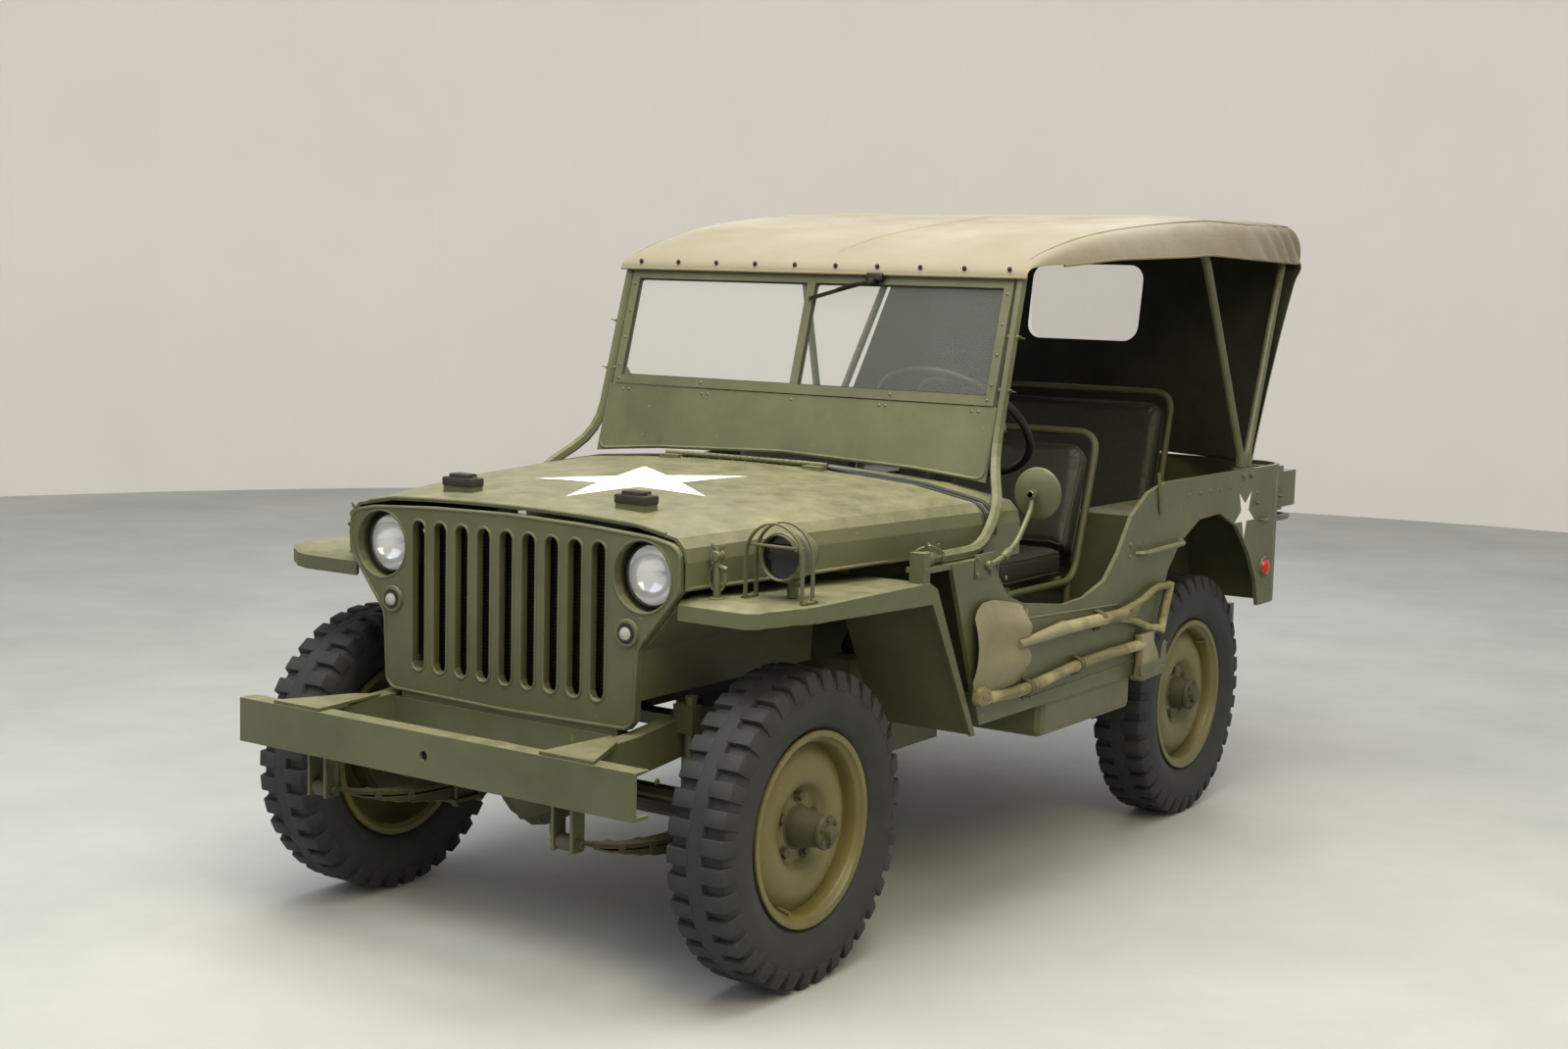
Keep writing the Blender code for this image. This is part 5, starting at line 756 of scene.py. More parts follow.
scatter(trimShape, domeHead(0.0045), places)
clamp = dict(x=0.749, z=0.9375)
for side in (1, -1):  # arms that hold the glass frame, with wing nuts, and the clamps at the lower ends
    for z in (0.050, 0.190):
        absorb(trimShape, wingNut(0.0085), screenPlace @ facing((side * 0.655, 0.0, z), (side, 0, 0)))
        absorb(trimShape, bar(*onScreen((side * 0.625, 0, z), (side * 0.656, 0, z)), 0.006, 12))
    arm = onScreen((side * 0.600, 0.016, 0.050), (side * 0.600, 0.060, 0.020), (side * 0.604, 0.110, -0.030))
    absorb(trimShape, ribbon(arm, (0.0, 0.004, 0.014), 0.004))
    for start, end, radius in ((-0.805, -0.775, 0.0185), (-0.735, -0.722, 0.0175)):
        absorb(trimShape, bar((side * clamp["x"], start, clamp["z"]), (side * clamp["x"], end, clamp["z"]), radius, 18,
                              bevel=0.003))
    twist = [(side * 0.735, -0.810, 0.957), (side * 0.748, -0.790, 0.972), (side * 0.762, -0.765, 0.961),
             (side * 0.766, -0.742, 0.949)]
    absorb(trimShape, ribbon(bent(twist, 0.02, 4), (0.010, 0.012, 0.004), 0.004))
    absorb(trimShape, wingNut(0.012), facing((side * clamp["x"], -0.755, 0.953), (0, 0, 1)))
finish("windshield_fittings", trimShape, olivePaint)

# A pressed rim round the plain lower panel
rimRoute = [(-0.628, -0.004, 0.0), (-0.628, -0.004, -0.186), (-0.420, -0.004, -0.168), (0.0, -0.004, -0.153),
            (0.420, -0.004, -0.168), (0.628, -0.004, -0.186), (0.628, -0.004, 0.0)]
finish("screen_panel_rim", tube(onScreen(*bent(rimRoute, 0.03, 4)), 0.0050, 2), olivePaint)

wiperBlade = bmesh.new()
wiperArm = onScreen((0.205, -0.034, 0.318), (0.150, -0.034, 0.308), (0.095, -0.024, 0.296))
absorb(wiperBlade, tube(wiperArm, 0.0038, 2))
blade = onScreen((0.178, -0.0205, 0.318), (0.095, -0.0205, 0.294), (0.008, -0.0205, 0.268))
absorb(wiperBlade, ribbon(blade, (0, 0.0, 0.011), 0.005))
absorb(wiperBlade, bar(*onScreen((0.205, -0.040, 0.318), (0.205, -0.0095, 0.318)), 0.009, 14, bevel=0.002))
absorb(wiperBlade, block((0, 0, 0), (0.052, 0.020, 0.022), 0.004),
       screenPlace @ Matrix.Translation((0.182, -0.0300, 0.3215)))
finish("wiper_blade", wiperBlade, darkSteel, replaces=("wiper",))
print("windshield made")

# Steering wheel and dash
steer = dict(x=0.380, y=-0.03375, z=1.200, radius=0.216, slope=math.radians(48))
steerTurn = Matrix.Rotation(steer["slope"] - math.pi / 2, 4, "X")
steerPlace = Matrix.Translation((steer["x"], steer["y"], steer["z"])) @ steerTurn
rim = bmesh.new()
circle = [(steer["radius"] * math.cos(a), steer["radius"] * math.sin(a), 0) for a in wholeTurn(72)]
absorb(rim, tube(circle, 0.0112, 4, closed=True))
for turn in (90, 210, 330):  # three spokes of three rods each
    way = Vector((math.cos(math.radians(turn)), math.sin(math.radians(turn)), 0))
    aside = Vector((-way.y, way.x, 0)) * 0.011
    for step in (-1, 0, 1):
        route = [Vector((0, 0, -0.022)) + way * 0.022 + aside * step,
                 Vector((0, 0, -0.020)) + way * 0.06 + aside * step,
                 way * (steer["radius"] - 0.004) + aside * step * 0.9]
        absorb(rim, tube(bent(route, 0.03, 4), 0.0038, 2))
    shoe = way * (steer["radius"] - 0.012)
    absorb(rim, tube([shoe - aside * 1.6, shoe + aside * 1.6], 0.0085, 3))
hubLine = [(-0.0490, 0.0), (-0.0490, 0.024), (-0.0440, 0.029), (-0.0250, 0.0300), (-0.0120, 0.0290),
           (-0.0060, 0.0240), (-0.0045, 0.0180), (0.0010, 0.0150), (0.0030, 0.0)]
absorb(rim, turned(hubLine, 36, closed=False, matrix=Matrix.Rotation(-math.pi / 2, 4, "Y")))
finish("steering_ring", moved(rim, steerPlace), darkSteel, "steering_wheel", replaces=("steering_wheel",))

dash = bmesh.new()
dashY = car["cowl"] + 0.185
dials = [(0.0, 1.022, 0.045), (-0.105, 1.032, 0.026), (0.105, 1.032, 0.026), (-0.080, 0.972, 0.026),
         (0.080, 0.972, 0.026)]  # place across, height, radius
faces = bmesh.new()
for x, z, radius in dials:
    turn = facing((x, dashY - 0.002, z), (0, 1, 0)) @ Matrix.Rotation(-math.pi / 2, 4, "Y")
    bezel = [(0.0, radius), (0.007, radius), (0.009, radius * 0.94), (0.006, radius * 0.88), (0.0, radius * 0.88)]
    absorb(dash, turned(bezel, 28, matrix=turn))
    disc = [(0.0005, 0.0), (0.0045, 0.0), (0.0040, radius * 0.87), (0.0005, radius * 0.87)]
    absorb(faces, turned(disc, 24, matrix=turn))
for x in (-0.24, -0.19, 0.19, 0.24, 0.30):
    absorb(dash, bar((x, dashY - 0.001, 0.975), (x, dashY + 0.016, 0.975), 0.0095, 16, bevel=0.002))
absorb(dash, block((-0.56, dashY - 0.001, 0.965), (-0.30, dashY + 0.0025, 1.045), 0.0015))
for side in (1, -1):
    left, right = side * 0.43 - 0.05, side * 0.43 + 0.05
    pull = [(left, dashY, 0.955), (left, dashY + 0.022, 0.955), (right, dashY + 0.022, 0.955), (right, dashY, 0.955)]
    absorb(dash, tube(bent(pull, 0.012, 3), 0.004, 2))
finish("dash_fittings", dash, olivePaint)
finish("dash_dials", faces, dialFace)

# Seats
# Mesh width, air pressure, frames of swelling, most that a place may move, shrinking first, corner radius
padRecipe = dict(voxel=0.006, pressure=4.0, frames=20, cap=0.009, shrink=0.0045, corner=0.055)


def roundCorners(shape, upward):  # the two corners at the end that upward points to become arcs
    side = padRecipe["corner"]
    ups = [vert.co.dot(upward) for vert in shape.verts]
    wides = [vert.co.x for vert in shape.verts]
    top, middle, half = max(ups) - side, (max(wides) + min(wides)) / 2, (max(wides) - min(wides)) / 2 - side
    for vert, up in zip(shape.verts, ups):
        over = Vector((max(0.0, abs(vert.co.x - middle) - half), max(0.0, up - top)))
        if over.x > 0 and over.y > 0 and over.length > 1e-6:
            pulled = over * (max(over.x, over.y) / over.length)
            vert.co.x = middle + math.copysign(half + pulled.x, vert.co.x - middle)
            vert.co += upward * (pulled.y - over.y)


def paddedPiece(node, name, material, body, upward):
    made = linked(bpy.data.objects.new(name, nodes[node].data.copy()))
    shape = bmesh.new()
    shape.from_mesh(made.data)
    moved(shape, nodes[node].matrix_world)
    bmesh.ops.remove_doubles(shape, verts=shape.verts, dist=1e-5)
    bmesh.ops.recalc_face_normals(shape, faces=shape.faces)
    shape.to_mesh(made.data)
    shape.free()
    remesh = made.modifiers.new("even mesh", "REMESH")
    remesh.mode = "VOXEL"
    remesh.voxel_size = padRecipe["voxel"]
    settled(made)
    shape = bmesh.new()
    shape.from_mesh(made.data)
    roundCorners(shape, upward)
    shape.normal_update()
    start = [vert.co - vert.normal * padRecipe["shrink"] for vert in shape.verts]
    for vert, spot in zip(shape.verts, start):
        vert.co = spot
    shape.to_mesh(made.data)
    shape.free()
    cloth = made.modifiers.new("swelling", "CLOTH")
    cloth.settings.quality = 6
    cloth.settings.tension_stiffness = 12
    cloth.settings.compression_stiffness = 12
    cloth.settings.use_pressure = True
    cloth.settings.uniform_pressure_force = padRecipe["pressure"]
    cloth.settings.effector_weights.gravity = 0.0
    for number in range(1, padRecipe["frames"] + 1):
        bpy.context.scene.frame_set(number)
    settled(made)
    bpy.context.scene.frame_set(1)
    for vert, spot in zip(made.data.vertices, start):
        shift = vert.co - spot
        if shift.length > padRecipe["cap"]:
            vert.co = spot + shift.normalized() * padRecipe["cap"]
    even = made.modifiers.new("evened", "SMOOTH")
    even.factor = 0.5
    even.iterations = 5
    settled(made)
    made.data.materials.clear()
    made.data.materials.append(material)
    made.data.shade_smooth()
    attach(made, body)
    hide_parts(node)
    return made


def seamRound(made, level, axisZ):  # where a plane cuts the pad, as a loop of places
    shape = bmesh.new()
    shape.from_mesh(made.data)
    cutEdges = bmesh.ops.bisect_plane(shape, geom=shape.verts[:] + shape.edges[:] + shape.faces[:], plane_co=level,
                                      plane_no=axisZ)["geom_cut"]
    edges = [item for item in cutEdges if isinstance(item, bmesh.types.BMEdge)]
    loop = []
    if edges:
        here = edges[0].verts[0]
        last = None
        for _ in range(len(edges)):
            loop.append(here.co.copy())
            nextEdges = [e for e in here.link_edges if e in edges and e is not last]
            if not nextEdges:
                break
            last = nextEdges[0]
            here = last.other_vert(here)
            if (here.co - loop[0]).length < 1e-6:
                break
    shape.free()
    return loop[::3]


frameTube = dict(radius=0.0108, loop=0.755, rung=0.7637, rake=0.118, inset=0.020)
for seat, body, x, half, footY, backY, deck, top in (  # half width, the feet, the back, the floor and the top
    ("driver_seat", "car", 0.380, 0.225, -0.11375, 0.32625, car["floor"], 1.170),
    ("passenger_seat", "passenger_seat", -0.380, 0.225, -0.11375, 0.32625, car["floor"], 1.170),
    ("rear_seat", "car", 0.0, 0.480, 0.73225, 1.10225, car["rearFloor"], 1.250),
):
    at, bendY = half - frameTube["inset"], backY - 0.020
    sideLine = [(at, footY, deck + 0.012), (at, footY, frameTube["loop"]), (at, bendY, frameTube["loop"]),
                (at, bendY + frameTube["rake"], top - 0.008)]
    loop = [(x + a, y, z) for a, y, z in sideLine] + [(x - a, y, z) for a, y, z in reversed(sideLine)]
    frameShape = tube(bent(loop, 0.062, 7), frameTube["radius"], 4)
    for side in (1, -1):
        leg = (x + side * at, backY - 0.060)
        absorb(frameShape, bar((*leg, frameTube["loop"]), (*leg, deck + 0.0005), frameTube["radius"], 18))
        for y in (footY, leg[1]):
            absorb(frameShape, bar((leg[0], y, deck + (0.012 if y == footY else 0.0005)),
                                   (leg[0], y, deck + 0.017), 0.019, 18, bevel=0.001))
    for y in (footY + 0.040, backY - 0.100):
        absorb(frameShape, bar((x - at, y, frameTube["rung"]), (x + at, y, frameTube["rung"]), frameTube["radius"], 18))
    finish(seat + "_tubes", frameShape, interiorPaint, body, replaces=(seat + "_frame",))

pads = []
for seat, body, tilt in (("driver_seat", "car", 0.3376), ("passenger_seat", "passenger_seat", 0.3376),
                         ("rear_seat", "car", 0.27)):  # how far the back leans, in radians
    for part in ("cushion", "back"):
        upward = Vector((0, math.sin(tilt), math.cos(tilt))) if part == "back" else Vector((0, -1, 0))
        made = paddedPiece(seat + "_" + part, seat + "_" + part + "_pad", seatCover, body, upward)
        pads.append((seat, body, part, tilt, made))
for seat, body, part, tilt, made in pads:
    low = Vector([min(v.co[k] for v in made.data.vertices) for k in range(3)])
    high = Vector([max(v.co[k] for v in made.data.vertices) for k in range(3)])
    piping = bmesh.new()
    if part == "cushion":
        levels = [(Vector((0, 0, z)), Vector((0, 0, 1))) for z in (high.z - 0.014, low.z + 0.014)]
    else:
        slant = Vector((0, math.cos(tilt), -math.sin(tilt)))
        middle = (low + high) / 2
        levels = [(middle + slant * 0.022, slant), (middle - slant * 0.022, slant)]
    for level, normal in levels:
        loop = seamRound(made, level, normal)
        if len(loop) > 10:
            absorb(piping, tube(loop, 0.0036, 2, closed=True))
    finish(seat + "_" + part + "_piping", piping, seatPipe, body)
print("seats made")

# Bows and canvas
screenTop = screen["y"] + math.tan(screen["lean"]) * screen["rise"]
bows = dict(footX=0.759, footY=1.06625, stand=1.0373, half=0.690, top=1.763, front=0.79225, rear=1.46625)
for name, shift, topY in (("front_bow", -0.020, bows["front"]), ("rear_bow", 0.020, bows["rear"])):
    route = [(bows["footX"], bows["footY"] + shift, bows["stand"]),
             (bows["footX"], bows["footY"] + shift, bows["stand"] + 0.02),
             (bows["half"] + 0.018, topY - math.copysign(0.03, shift), bows["top"] - 0.080),
             (bows["half"] - 0.060, topY, bows["top"])]
    route += [mirrorX(s) for s in reversed(route)]
    made = tube(bent(route, 0.060, 8), 0.0125, 4)
    for side in (1, -1):  # collars and a strap buckle near each foot
        foot = Vector((side * bows["footX"], bows["footY"] + shift, bows["stand"] + 0.001))
        absorb(made, bar(foot, foot + Vector((0, 0, 0.045)), 0.0165, 20, bevel=0.002))
        absorb(made, bar(foot, foot + Vector((0, 0, 0.012)), 0.0150, 6))
    finish(name + "_tube", made, olivePaint, replaces=(name,))

shares = [(1.0, 1.0), (0.998, 0.66), (0.985, 0.16), (0.930, 0.0), (0.60, -0.01), (0.30, 0.0), (0.0, 0.0)]
shares += [(-a, b) for a, b in reversed(shares[:-1])]
roofRows = [
    # lengthwise place, height, half width, drop at the side
    (screenTop - 0.0230, 1.590, 0.660, 0.002), (screenTop - 0.0190, 1.626, 0.660, 0.004),
    (screenTop + 0.160, 1.686, 0.672, 0.062), (screenTop + 0.420, 1.738, 0.700, 0.092),
    (bows["front"] - 0.100, 1.775, 0.732, 0.113), (bows["front"], 1.783, 0.738, 0.114),
    (bows["front"] + 0.320, 1.774, 0.738, 0.112), (bows["rear"] - 0.060, 1.784, 0.738, 0.128),
    (bows["rear"] + 0.012, 1.780, 0.738, 0.126), (bows["rear"] + 0.034, 1.745, 0.737, 0.090),
    (bows["rear"] + 0.040, 1.655, 0.736, 0.002),
]
cover = bmesh.new()
rows = [[cover.verts.new((half * share, y, height - drop * fall)) for share, fall in shares]
        for y, height, half, drop in roofRows]
footY, sideY, lowZ = car["panel"] - 0.018, bows["footY"] + 0.060, 1.039
for step in (0.25, 0.5, 0.75, 1.0):
    middleY = bows["rear"] + 0.040 + (footY - bows["rear"] - 0.040) * step
    edgeY = bows["rear"] + 0.030 + (sideY - bows["rear"] - 0.030) * step
    row = []
    for share, fall in shares:
        bend = max(0.0, (abs(share) - 0.60) / 0.40) ** 2
        half = 0.736 + (bows["footX"] - 0.736) * step * step
        row.append(cover.verts.new((half * share, middleY + (edgeY - middleY) * bend, 1.655 + (lowZ - 1.655) * step)))
    rows.append(row)
for before, after in zip(rows, rows[1:]):
    for index in range(len(before) - 1):
        cover.faces.new((before[index], after[index], after[index + 1], before[index + 1]))
bmesh.ops.recalc_face_normals(cover, faces=cover.faces)
if sum(face.normal.z for face in cover.faces) < 0:
    bmesh.ops.reverse_faces(cover, faces=cover.faces)
canvas = objectOf("canvas_cover", cover, canvasOut, canvasIn)
finer = canvas.modifiers.new("finer", "SUBSURF")
finer.levels = finer.render_levels = 4
finer.boundary_smooth = "PRESERVE_CORNERS"
settled(canvas)
slack = dict(sway=0.0035, dip=0.010, flute=0.0065, flutes=34.0, curtain=0.005)
for vert in canvas.data.vertices:  # pulls between the bows, and slack cloth at the sides and rear corners
    x, y, z = vert.co
    sway = noise.noise(Vector((x * 5.0, y * 2.2, 3.0))) * slack["sway"]
    roof = max(0.0, min(1.0, (z - 1.60) / 0.08)) * max(0.0, 1 - abs(x) / 0.62)
    dip = -slack["dip"] * roof * max(0.0, math.sin(math.pi * min(1, max(0, (y + 0.17) / 0.96))))
    side = max(0.0, min(1.0, (abs(x) - 0.62) / 0.08))
    rear = max(0.0, min(1.0, (y - 0.95) / 0.25))
    flute = math.sin(slack["flutes"] * (y * 0.62 + z * 0.95) + 4.0 * noise.noise(Vector((y * 3, z * 3, x))))
    flap = max(0.0, min(1.0, (z - 1.60) / 0.04))
    wave = slack["flute"] * side * flap * (0.20 + rear) * flute * max(0.0, min(1.0, (y + 0.05) / 0.2))
    vert.co.z += dip + sway * (1 if y > -0.10 else 0)
    vert.co.x += math.copysign(wave, x) if abs(x) > 0.62 else 0.0
    if y > bows["rear"] and z < 1.66:
        vert.co.y += slack["curtain"] * math.sin(26 * x + 3 * z) * noise.noise(Vector((x * 3, 0, z * 3)))
canvas.data.update()
sheetTree = BVHTree.FromPolygons([v.co for v in canvas.data.vertices], [p.vertices for p in canvas.data.polygons])
cloth = canvas.modifiers.new("thickness", "SOLIDIFY")
cloth.thickness = 0.0026
cloth.offset = 0.0
cloth.material_offset = 1
cloth.material_offset_rim = 0
settled(canvas)
pane = dict(half=0.155, low=1.440, middle=1.515, high=1.590, corner=0.050)
windowLoop = []
for x, z, start in ((pane["half"], pane["high"], 0), (-pane["half"], pane["high"], 90),
                    (-pane["half"], pane["low"], 180), (pane["half"], pane["low"], 270)):
    for step in range(7):
        angle = math.radians(start + 15 * step)
        windowLoop.append((x + pane["corner"] * math.cos(angle), z + pane["corner"] * math.sin(angle)))
cutter = objectOf("window cutter", slab(windowLoop, "Y", bows["rear"] - 0.08, bows["rear"] + 0.10))
opening = canvas.modifiers.new("window", "BOOLEAN")
opening.operation = "DIFFERENCE"
opening.solver = "EXACT"
opening.object = cutter
settled(canvas)
bpy.data.objects.remove(cutter, do_unlink=True)
canvas.data.shade_smooth()
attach(canvas, "car")
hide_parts("canvas_top")


def onCanvas(x, y, lift, above=2.2):
    hit = sheetTree.ray_cast(Vector((x, y, above)), Vector((0, 0, -1)))
    return hit[0] + Vector((0, 0, lift)) if hit[0] else None


def onCurtain(x, z, lift):
    hit = sheetTree.ray_cast(Vector((x, 2.5, z)), Vector((0, -1, 0)))
    return hit[0] + Vector((0, lift, 0)) if hit[0] else None


binding = bmesh.new()
for offset in (0.004, 0.030):
    loop = []
    for x, z in windowLoop:
        away = Vector((x, 0, z - pane["middle"])).normalized() * offset
        spot = onCurtain(x + away.x, z + away.z, 0.0022)
        if spot:
            loop.append(spot)
    absorb(binding, tube(loop, 0.0026, 2, closed=True))
seamLines = [[onCanvas(0.035 + 0.045 * math.sin(2.6 * (y + 0.15)), y, 0.0016)
              for y in (k * 0.04 - 0.13 for k in range(41))]]
for side in (1, -1):
    seamLines.append([onCanvas(side * (0.632 + 0.075 * min(1, max(0, (y + 0.15) / 0.9))), y, 0.0016)
                      for y in (k * 0.04 - 0.12 for k in range(41))])
for line in seamLines:
    line = [spot for spot in line if spot is not None and spot.z > 1.60]
    absorb(binding, ribbon(line, (0.011, 0, 0), 0.0016))
finish("canvas_seams", binding, canvasBind)
hem = bmesh.new()
for side in (1, -1):
    edge = [(side * (half + 0.0005), y, height - drop + 0.001) for y, height, half, drop in roofRows[2:9]]
    absorb(hem, tube(bent(edge, 0.05, 3), 0.0042, 2))
absorb(hem, tube([(0.660 * k / 20, screenTop - 0.0232, 1.5905) for k in range(-20, 21)], 0.0038, 2))
finish("canvas_hem", hem, canvasBind)
studs = bmesh.new()
scatter(studs, domeHead(0.0068, 0.55), [facing((-0.588 + 0.133 * k, screenTop - 0.0222, 1.612), (0, -1, 0.1))
                                        for k in range(10)])
finish("canvas_studs", studs, darkSteel)
film = dict(grow=1.02, near=0.0330, far=0.0334)
clear = slab([(x * film["grow"], pane["middle"] + (z - pane["middle"]) * film["grow"]) for x, z in windowLoop], "Y",
             bows["rear"] + film["near"], bows["rear"] + film["far"])
finish("rear_window_film", clear, paneGlass)
print("canvas made")

# Leaf springs: stacked leaves, rolled eyes, clips, U-bolts and shackles
spring = dict(x=0.372, wide=0.044, top=0.312, leaf=0.0050, leaves=8, flat=0.13, bolt=0.0415, apart=0.029)


def leafTop(share, eyeZ):  # height of the top leaf, from the axle at 0 to the eyes at 1 and -1
    bow = max(0.0, (abs(share) - spring["flat"]) / (1 - spring["flat"])) ** 2
    return spring["top"] + (eyeZ + 0.004 - spring["top"]) * bow


for name, side, axleY, reach, eyeZ, shackle in (
    ("front_left", 1, car["front"], 0.460, 0.372, -1), ("front_right", -1, car["front"], 0.460, 0.372, -1),
    ("rear_left", 1, car["rear"], 0.500, 0.385, 1), ("rear_right", -1, car["rear"], 0.500, 0.385, 1),
):
    x = side * spring["x"]
    stack = bmesh.new()
    for leafIndex in range(spring["leaves"]):
        half = 0.98 - 0.115 * leafIndex
        low = spring["leaf"] * (leafIndex + 0.5)
        route = [(x, axleY + reach * half * k / 14, leafTop(half * k / 14, eyeZ) - low) for k in range(-14, 15)]
        absorb(stack, ribbon(route, (spring["wide"], 0, 0), 0.0042))
    for end in (-1, 1):
        eye = Vector((x, axleY + end * reach, eyeZ))
        across = Vector((0.022, 0, 0))
        absorb(stack, bar(eye - across, eye + across, 0.0185, 20, bevel=0.002))
        absorb(stack, bar(eye - across * 1.6, eye + across * 1.6, 0.0080, 12))
        scatter(stack, hexHead(0.010, 0.007), [facing(eye + across * 1.6 * k, (k, 0, 0)) for k in (-1, 1)])
        for share in (0.42, 0.66):
            y = axleY + end * reach * share
            z = leafTop(share, eyeZ)
            deep = spring["leaf"] * (spring["leaves"] - (share - 0.06) / 0.115)
            loop = [(x + a, y, z + b) for a, b in ((-0.025, 0.003), (0.025, 0.003), (0.025, -deep), (-0.025, -deep))]
            absorb(stack, ribbon(loop + loop[:1], (0, 0.020, 0), 0.0028))
        if end == shackle:
            for way in (-1, 1):
                spots = [eye + Vector((way * spring["apart"], y, z))
                         for y, z in ((0, -0.004), (end * 0.012, 0.030), (end * 0.004, 0.058))]
                absorb(stack, ribbon(bent(spots, 0.02, 4), (0, 0.020, 0.004), 0.006))
    for way in (-spring["apart"], spring["apart"]):
        arch = [(x + way, axleY + spring["bolt"] * math.cos(a), car["axleZ"] + spring["bolt"] * math.sin(a))
                for a in (math.radians(15 * k) for k in range(13))]
        arch = [(x + way, axleY + spring["bolt"], 0.250)] + arch + [(x + way, axleY - spring["bolt"], 0.250)]
        absorb(stack, tube(arch, 0.0055, 2))
        scatter(stack, hexHead(0.0095, 0.009), [facing((x + way, axleY + k * spring["bolt"], 0.2595), (0, 0, -1))
                                                for k in (-1, 1)])
    absorb(stack, block((x - 0.040, axleY - 0.056, 0.2600), (x + 0.040, axleY + 0.056, 0.2700), 0.002))
    absorb(stack, block((x - 0.024, axleY - 0.050, 0.3125), (x + 0.024, axleY + 0.050, 0.3260), 0.002))
    finish("spring_" + name, stack, runningGear, replaces=("leaf_spring_" + name,))
print("springs made")

# Shovel and axe on the left side
toolX = dict(body=0.7765, haft=0.7925, shaft=0.7935, outer=0.8075)
blade = bmesh.new()
bladeLine = [(0.0, 0.080), (0.04, 0.094), (0.16, 0.102), (0.45, 0.112), (0.66, 0.118), (0.86, 0.114), (0.96, 0.098),
             (1.0, 0.078)]  # share of the length, half width
bladeRows = []
for along, half in bladeLine:
    bladeRows.append([blade.verts.new((0.8030 - 0.0075 * math.cos(math.tau * v) * (1 - along) - 0.014 * v * v,
                                       -0.352 - 0.262 * along, 0.690 + 0.012 * along + half * v))
                      for v in (k / 10 for k in range(-10, 11))])
for before, after in zip(bladeRows, bladeRows[1:]):
    for k in range(len(before) - 1):
        blade.faces.new((before[k], after[k], after[k + 1], before[k + 1]))
bmesh.ops.solidify(blade, geom=blade.faces[:], thickness=0.0022)
absorb(blade, tube([(0.7885, -0.351, 0.690 + 0.0085 * k) for k in range(-10, 11)], 0.0034, 2))
absorb(blade, bar((0.8000, -0.405, 0.692), (toolX["shaft"], -0.150, 0.702), 0.0100, 20, 0.0190))
scatter(blade, domeHead(0.0055), [facing((0.808, y, 0.698), (1, 0, 0)) for y in (-0.300, -0.215)])
finish("shovel_blade", blade, toolPaint, replaces=("shovel",))
shaft = bmesh.new()
absorb(shaft, bar((toolX["shaft"], -0.170, 0.702), (toolX["shaft"], 0.205, 0.695), 0.0165, 20))
for spots in ([(0.150, 0.701), (0.300, 0.716), (0.410, 0.750), (0.490, 0.741)],
              [(0.150, 0.690), (0.262, 0.672), (0.360, 0.640), (0.445, 0.628)]):
    absorb(shaft, tube(bent([(toolX["shaft"], y, z) for y, z in spots], 0.05, 6), 0.0100, 3))
web = [(0.190, 0.708), (0.300, 0.716), (0.262, 0.672), (0.190, 0.684)]
absorb(shaft, slab(web, "X", toolX["shaft"] - 0.006, toolX["shaft"] + 0.006, 0.002))
absorb(shaft, bar((toolX["shaft"], 0.496, 0.752), (toolX["shaft"], 0.441, 0.616), 0.0125, 18, bevel=0.003))
finish("shovel_handle", shaft, ashWood)
haft = bmesh.new()
haftLine = [(-0.590, 0.588), (-0.540, 0.580), (-0.440, 0.571), (-0.332, 0.573), (-0.200, 0.583), (-0.088, 0.592),
            (0.100, 0.598), (0.330, 0.596)]
absorb(haft, tube(bent([(toolX["haft"], y, z) for y, z in haftLine], 0.06, 4), 0.0150, 4))
butt = [(-0.606, 0.575), (-0.600, 0.608), (-0.585, 0.616), (-0.540, 0.597), (-0.545, 0.565), (-0.590, 0.563)]
absorb(haft, slab(butt, "X", 0.7800, 0.8050, 0.006))
finish("axe_haft", haft, ashWood, replaces=("axe",))
headLine = [(0.300, 0.624), (0.372, 0.628), (0.380, 0.600), (0.412, 0.560), (0.425, 0.515), (0.300, 0.505),
            (0.312, 0.545), (0.308, 0.580)]
finish("axe_head", slab(headLine, "X", 0.7800, 0.8055, 0.004), toolPaint)
pocket = bmesh.new()
pocketLine = [(0.286, 0.545), (0.300, 0.498), (0.448, 0.504), (0.458, 0.540), (0.446, 0.596), (0.430, 0.585),
              (0.420, 0.545)]
absorb(pocket, slab(pocketLine, "X", 0.8058, 0.8090, 0.001))
absorb(pocket, slab([(0.290, 0.500), (0.456, 0.506), (0.456, 0.517), (0.290, 0.511)], "X", 0.7765, 0.8075, 0.001))
for y, z in ((0.310, 0.512), (0.440, 0.520), (0.446, 0.585)):
    absorb(pocket, domeHead(0.006), facing((0.809, y, z), (1, 0, 0)))
finish("axe_pocket", pocket, olivePaint)
straps = bmesh.new()
for y, z, deep in ((-0.332, 0.573, 0.0175), (-0.060, 0.594, 0.0175), (0.060, 0.699, 0.0190)):
    loop = [(toolX["body"], y, z + deep + 0.005), (toolX["haft"], y, z + deep + 0.002),
            (toolX["outer"], y, z + deep * 0.6), (0.8100, y, z), (toolX["outer"], y, z - deep * 0.6),
            (toolX["haft"], y, z - deep - 0.002), (toolX["body"], y, z - deep - 0.010)]
    absorb(straps, ribbon(bent(loop, 0.01, 3), (0, 0.022, 0), 0.0022))
    footman = [(x, y + a, z - deep - 0.010) for x, a in ((0.7790, -0.014), (0.7850, -0.014), (0.7850, 0.014),
                                                         (0.7790, 0.014))]
    absorb(straps, tube(footman, 0.0018, 2))
hanging = [(0.7785, 0.420, 1.064), (0.7800, 0.428, 1.030), (0.7815, 0.436, 0.985), (0.7800, 0.446, 0.944)]
absorb(straps, ribbon(bent(hanging, 0.03, 4), (0, 0.018, 0.002), 0.0022))
finish("tool_straps", straps, strapWeb)

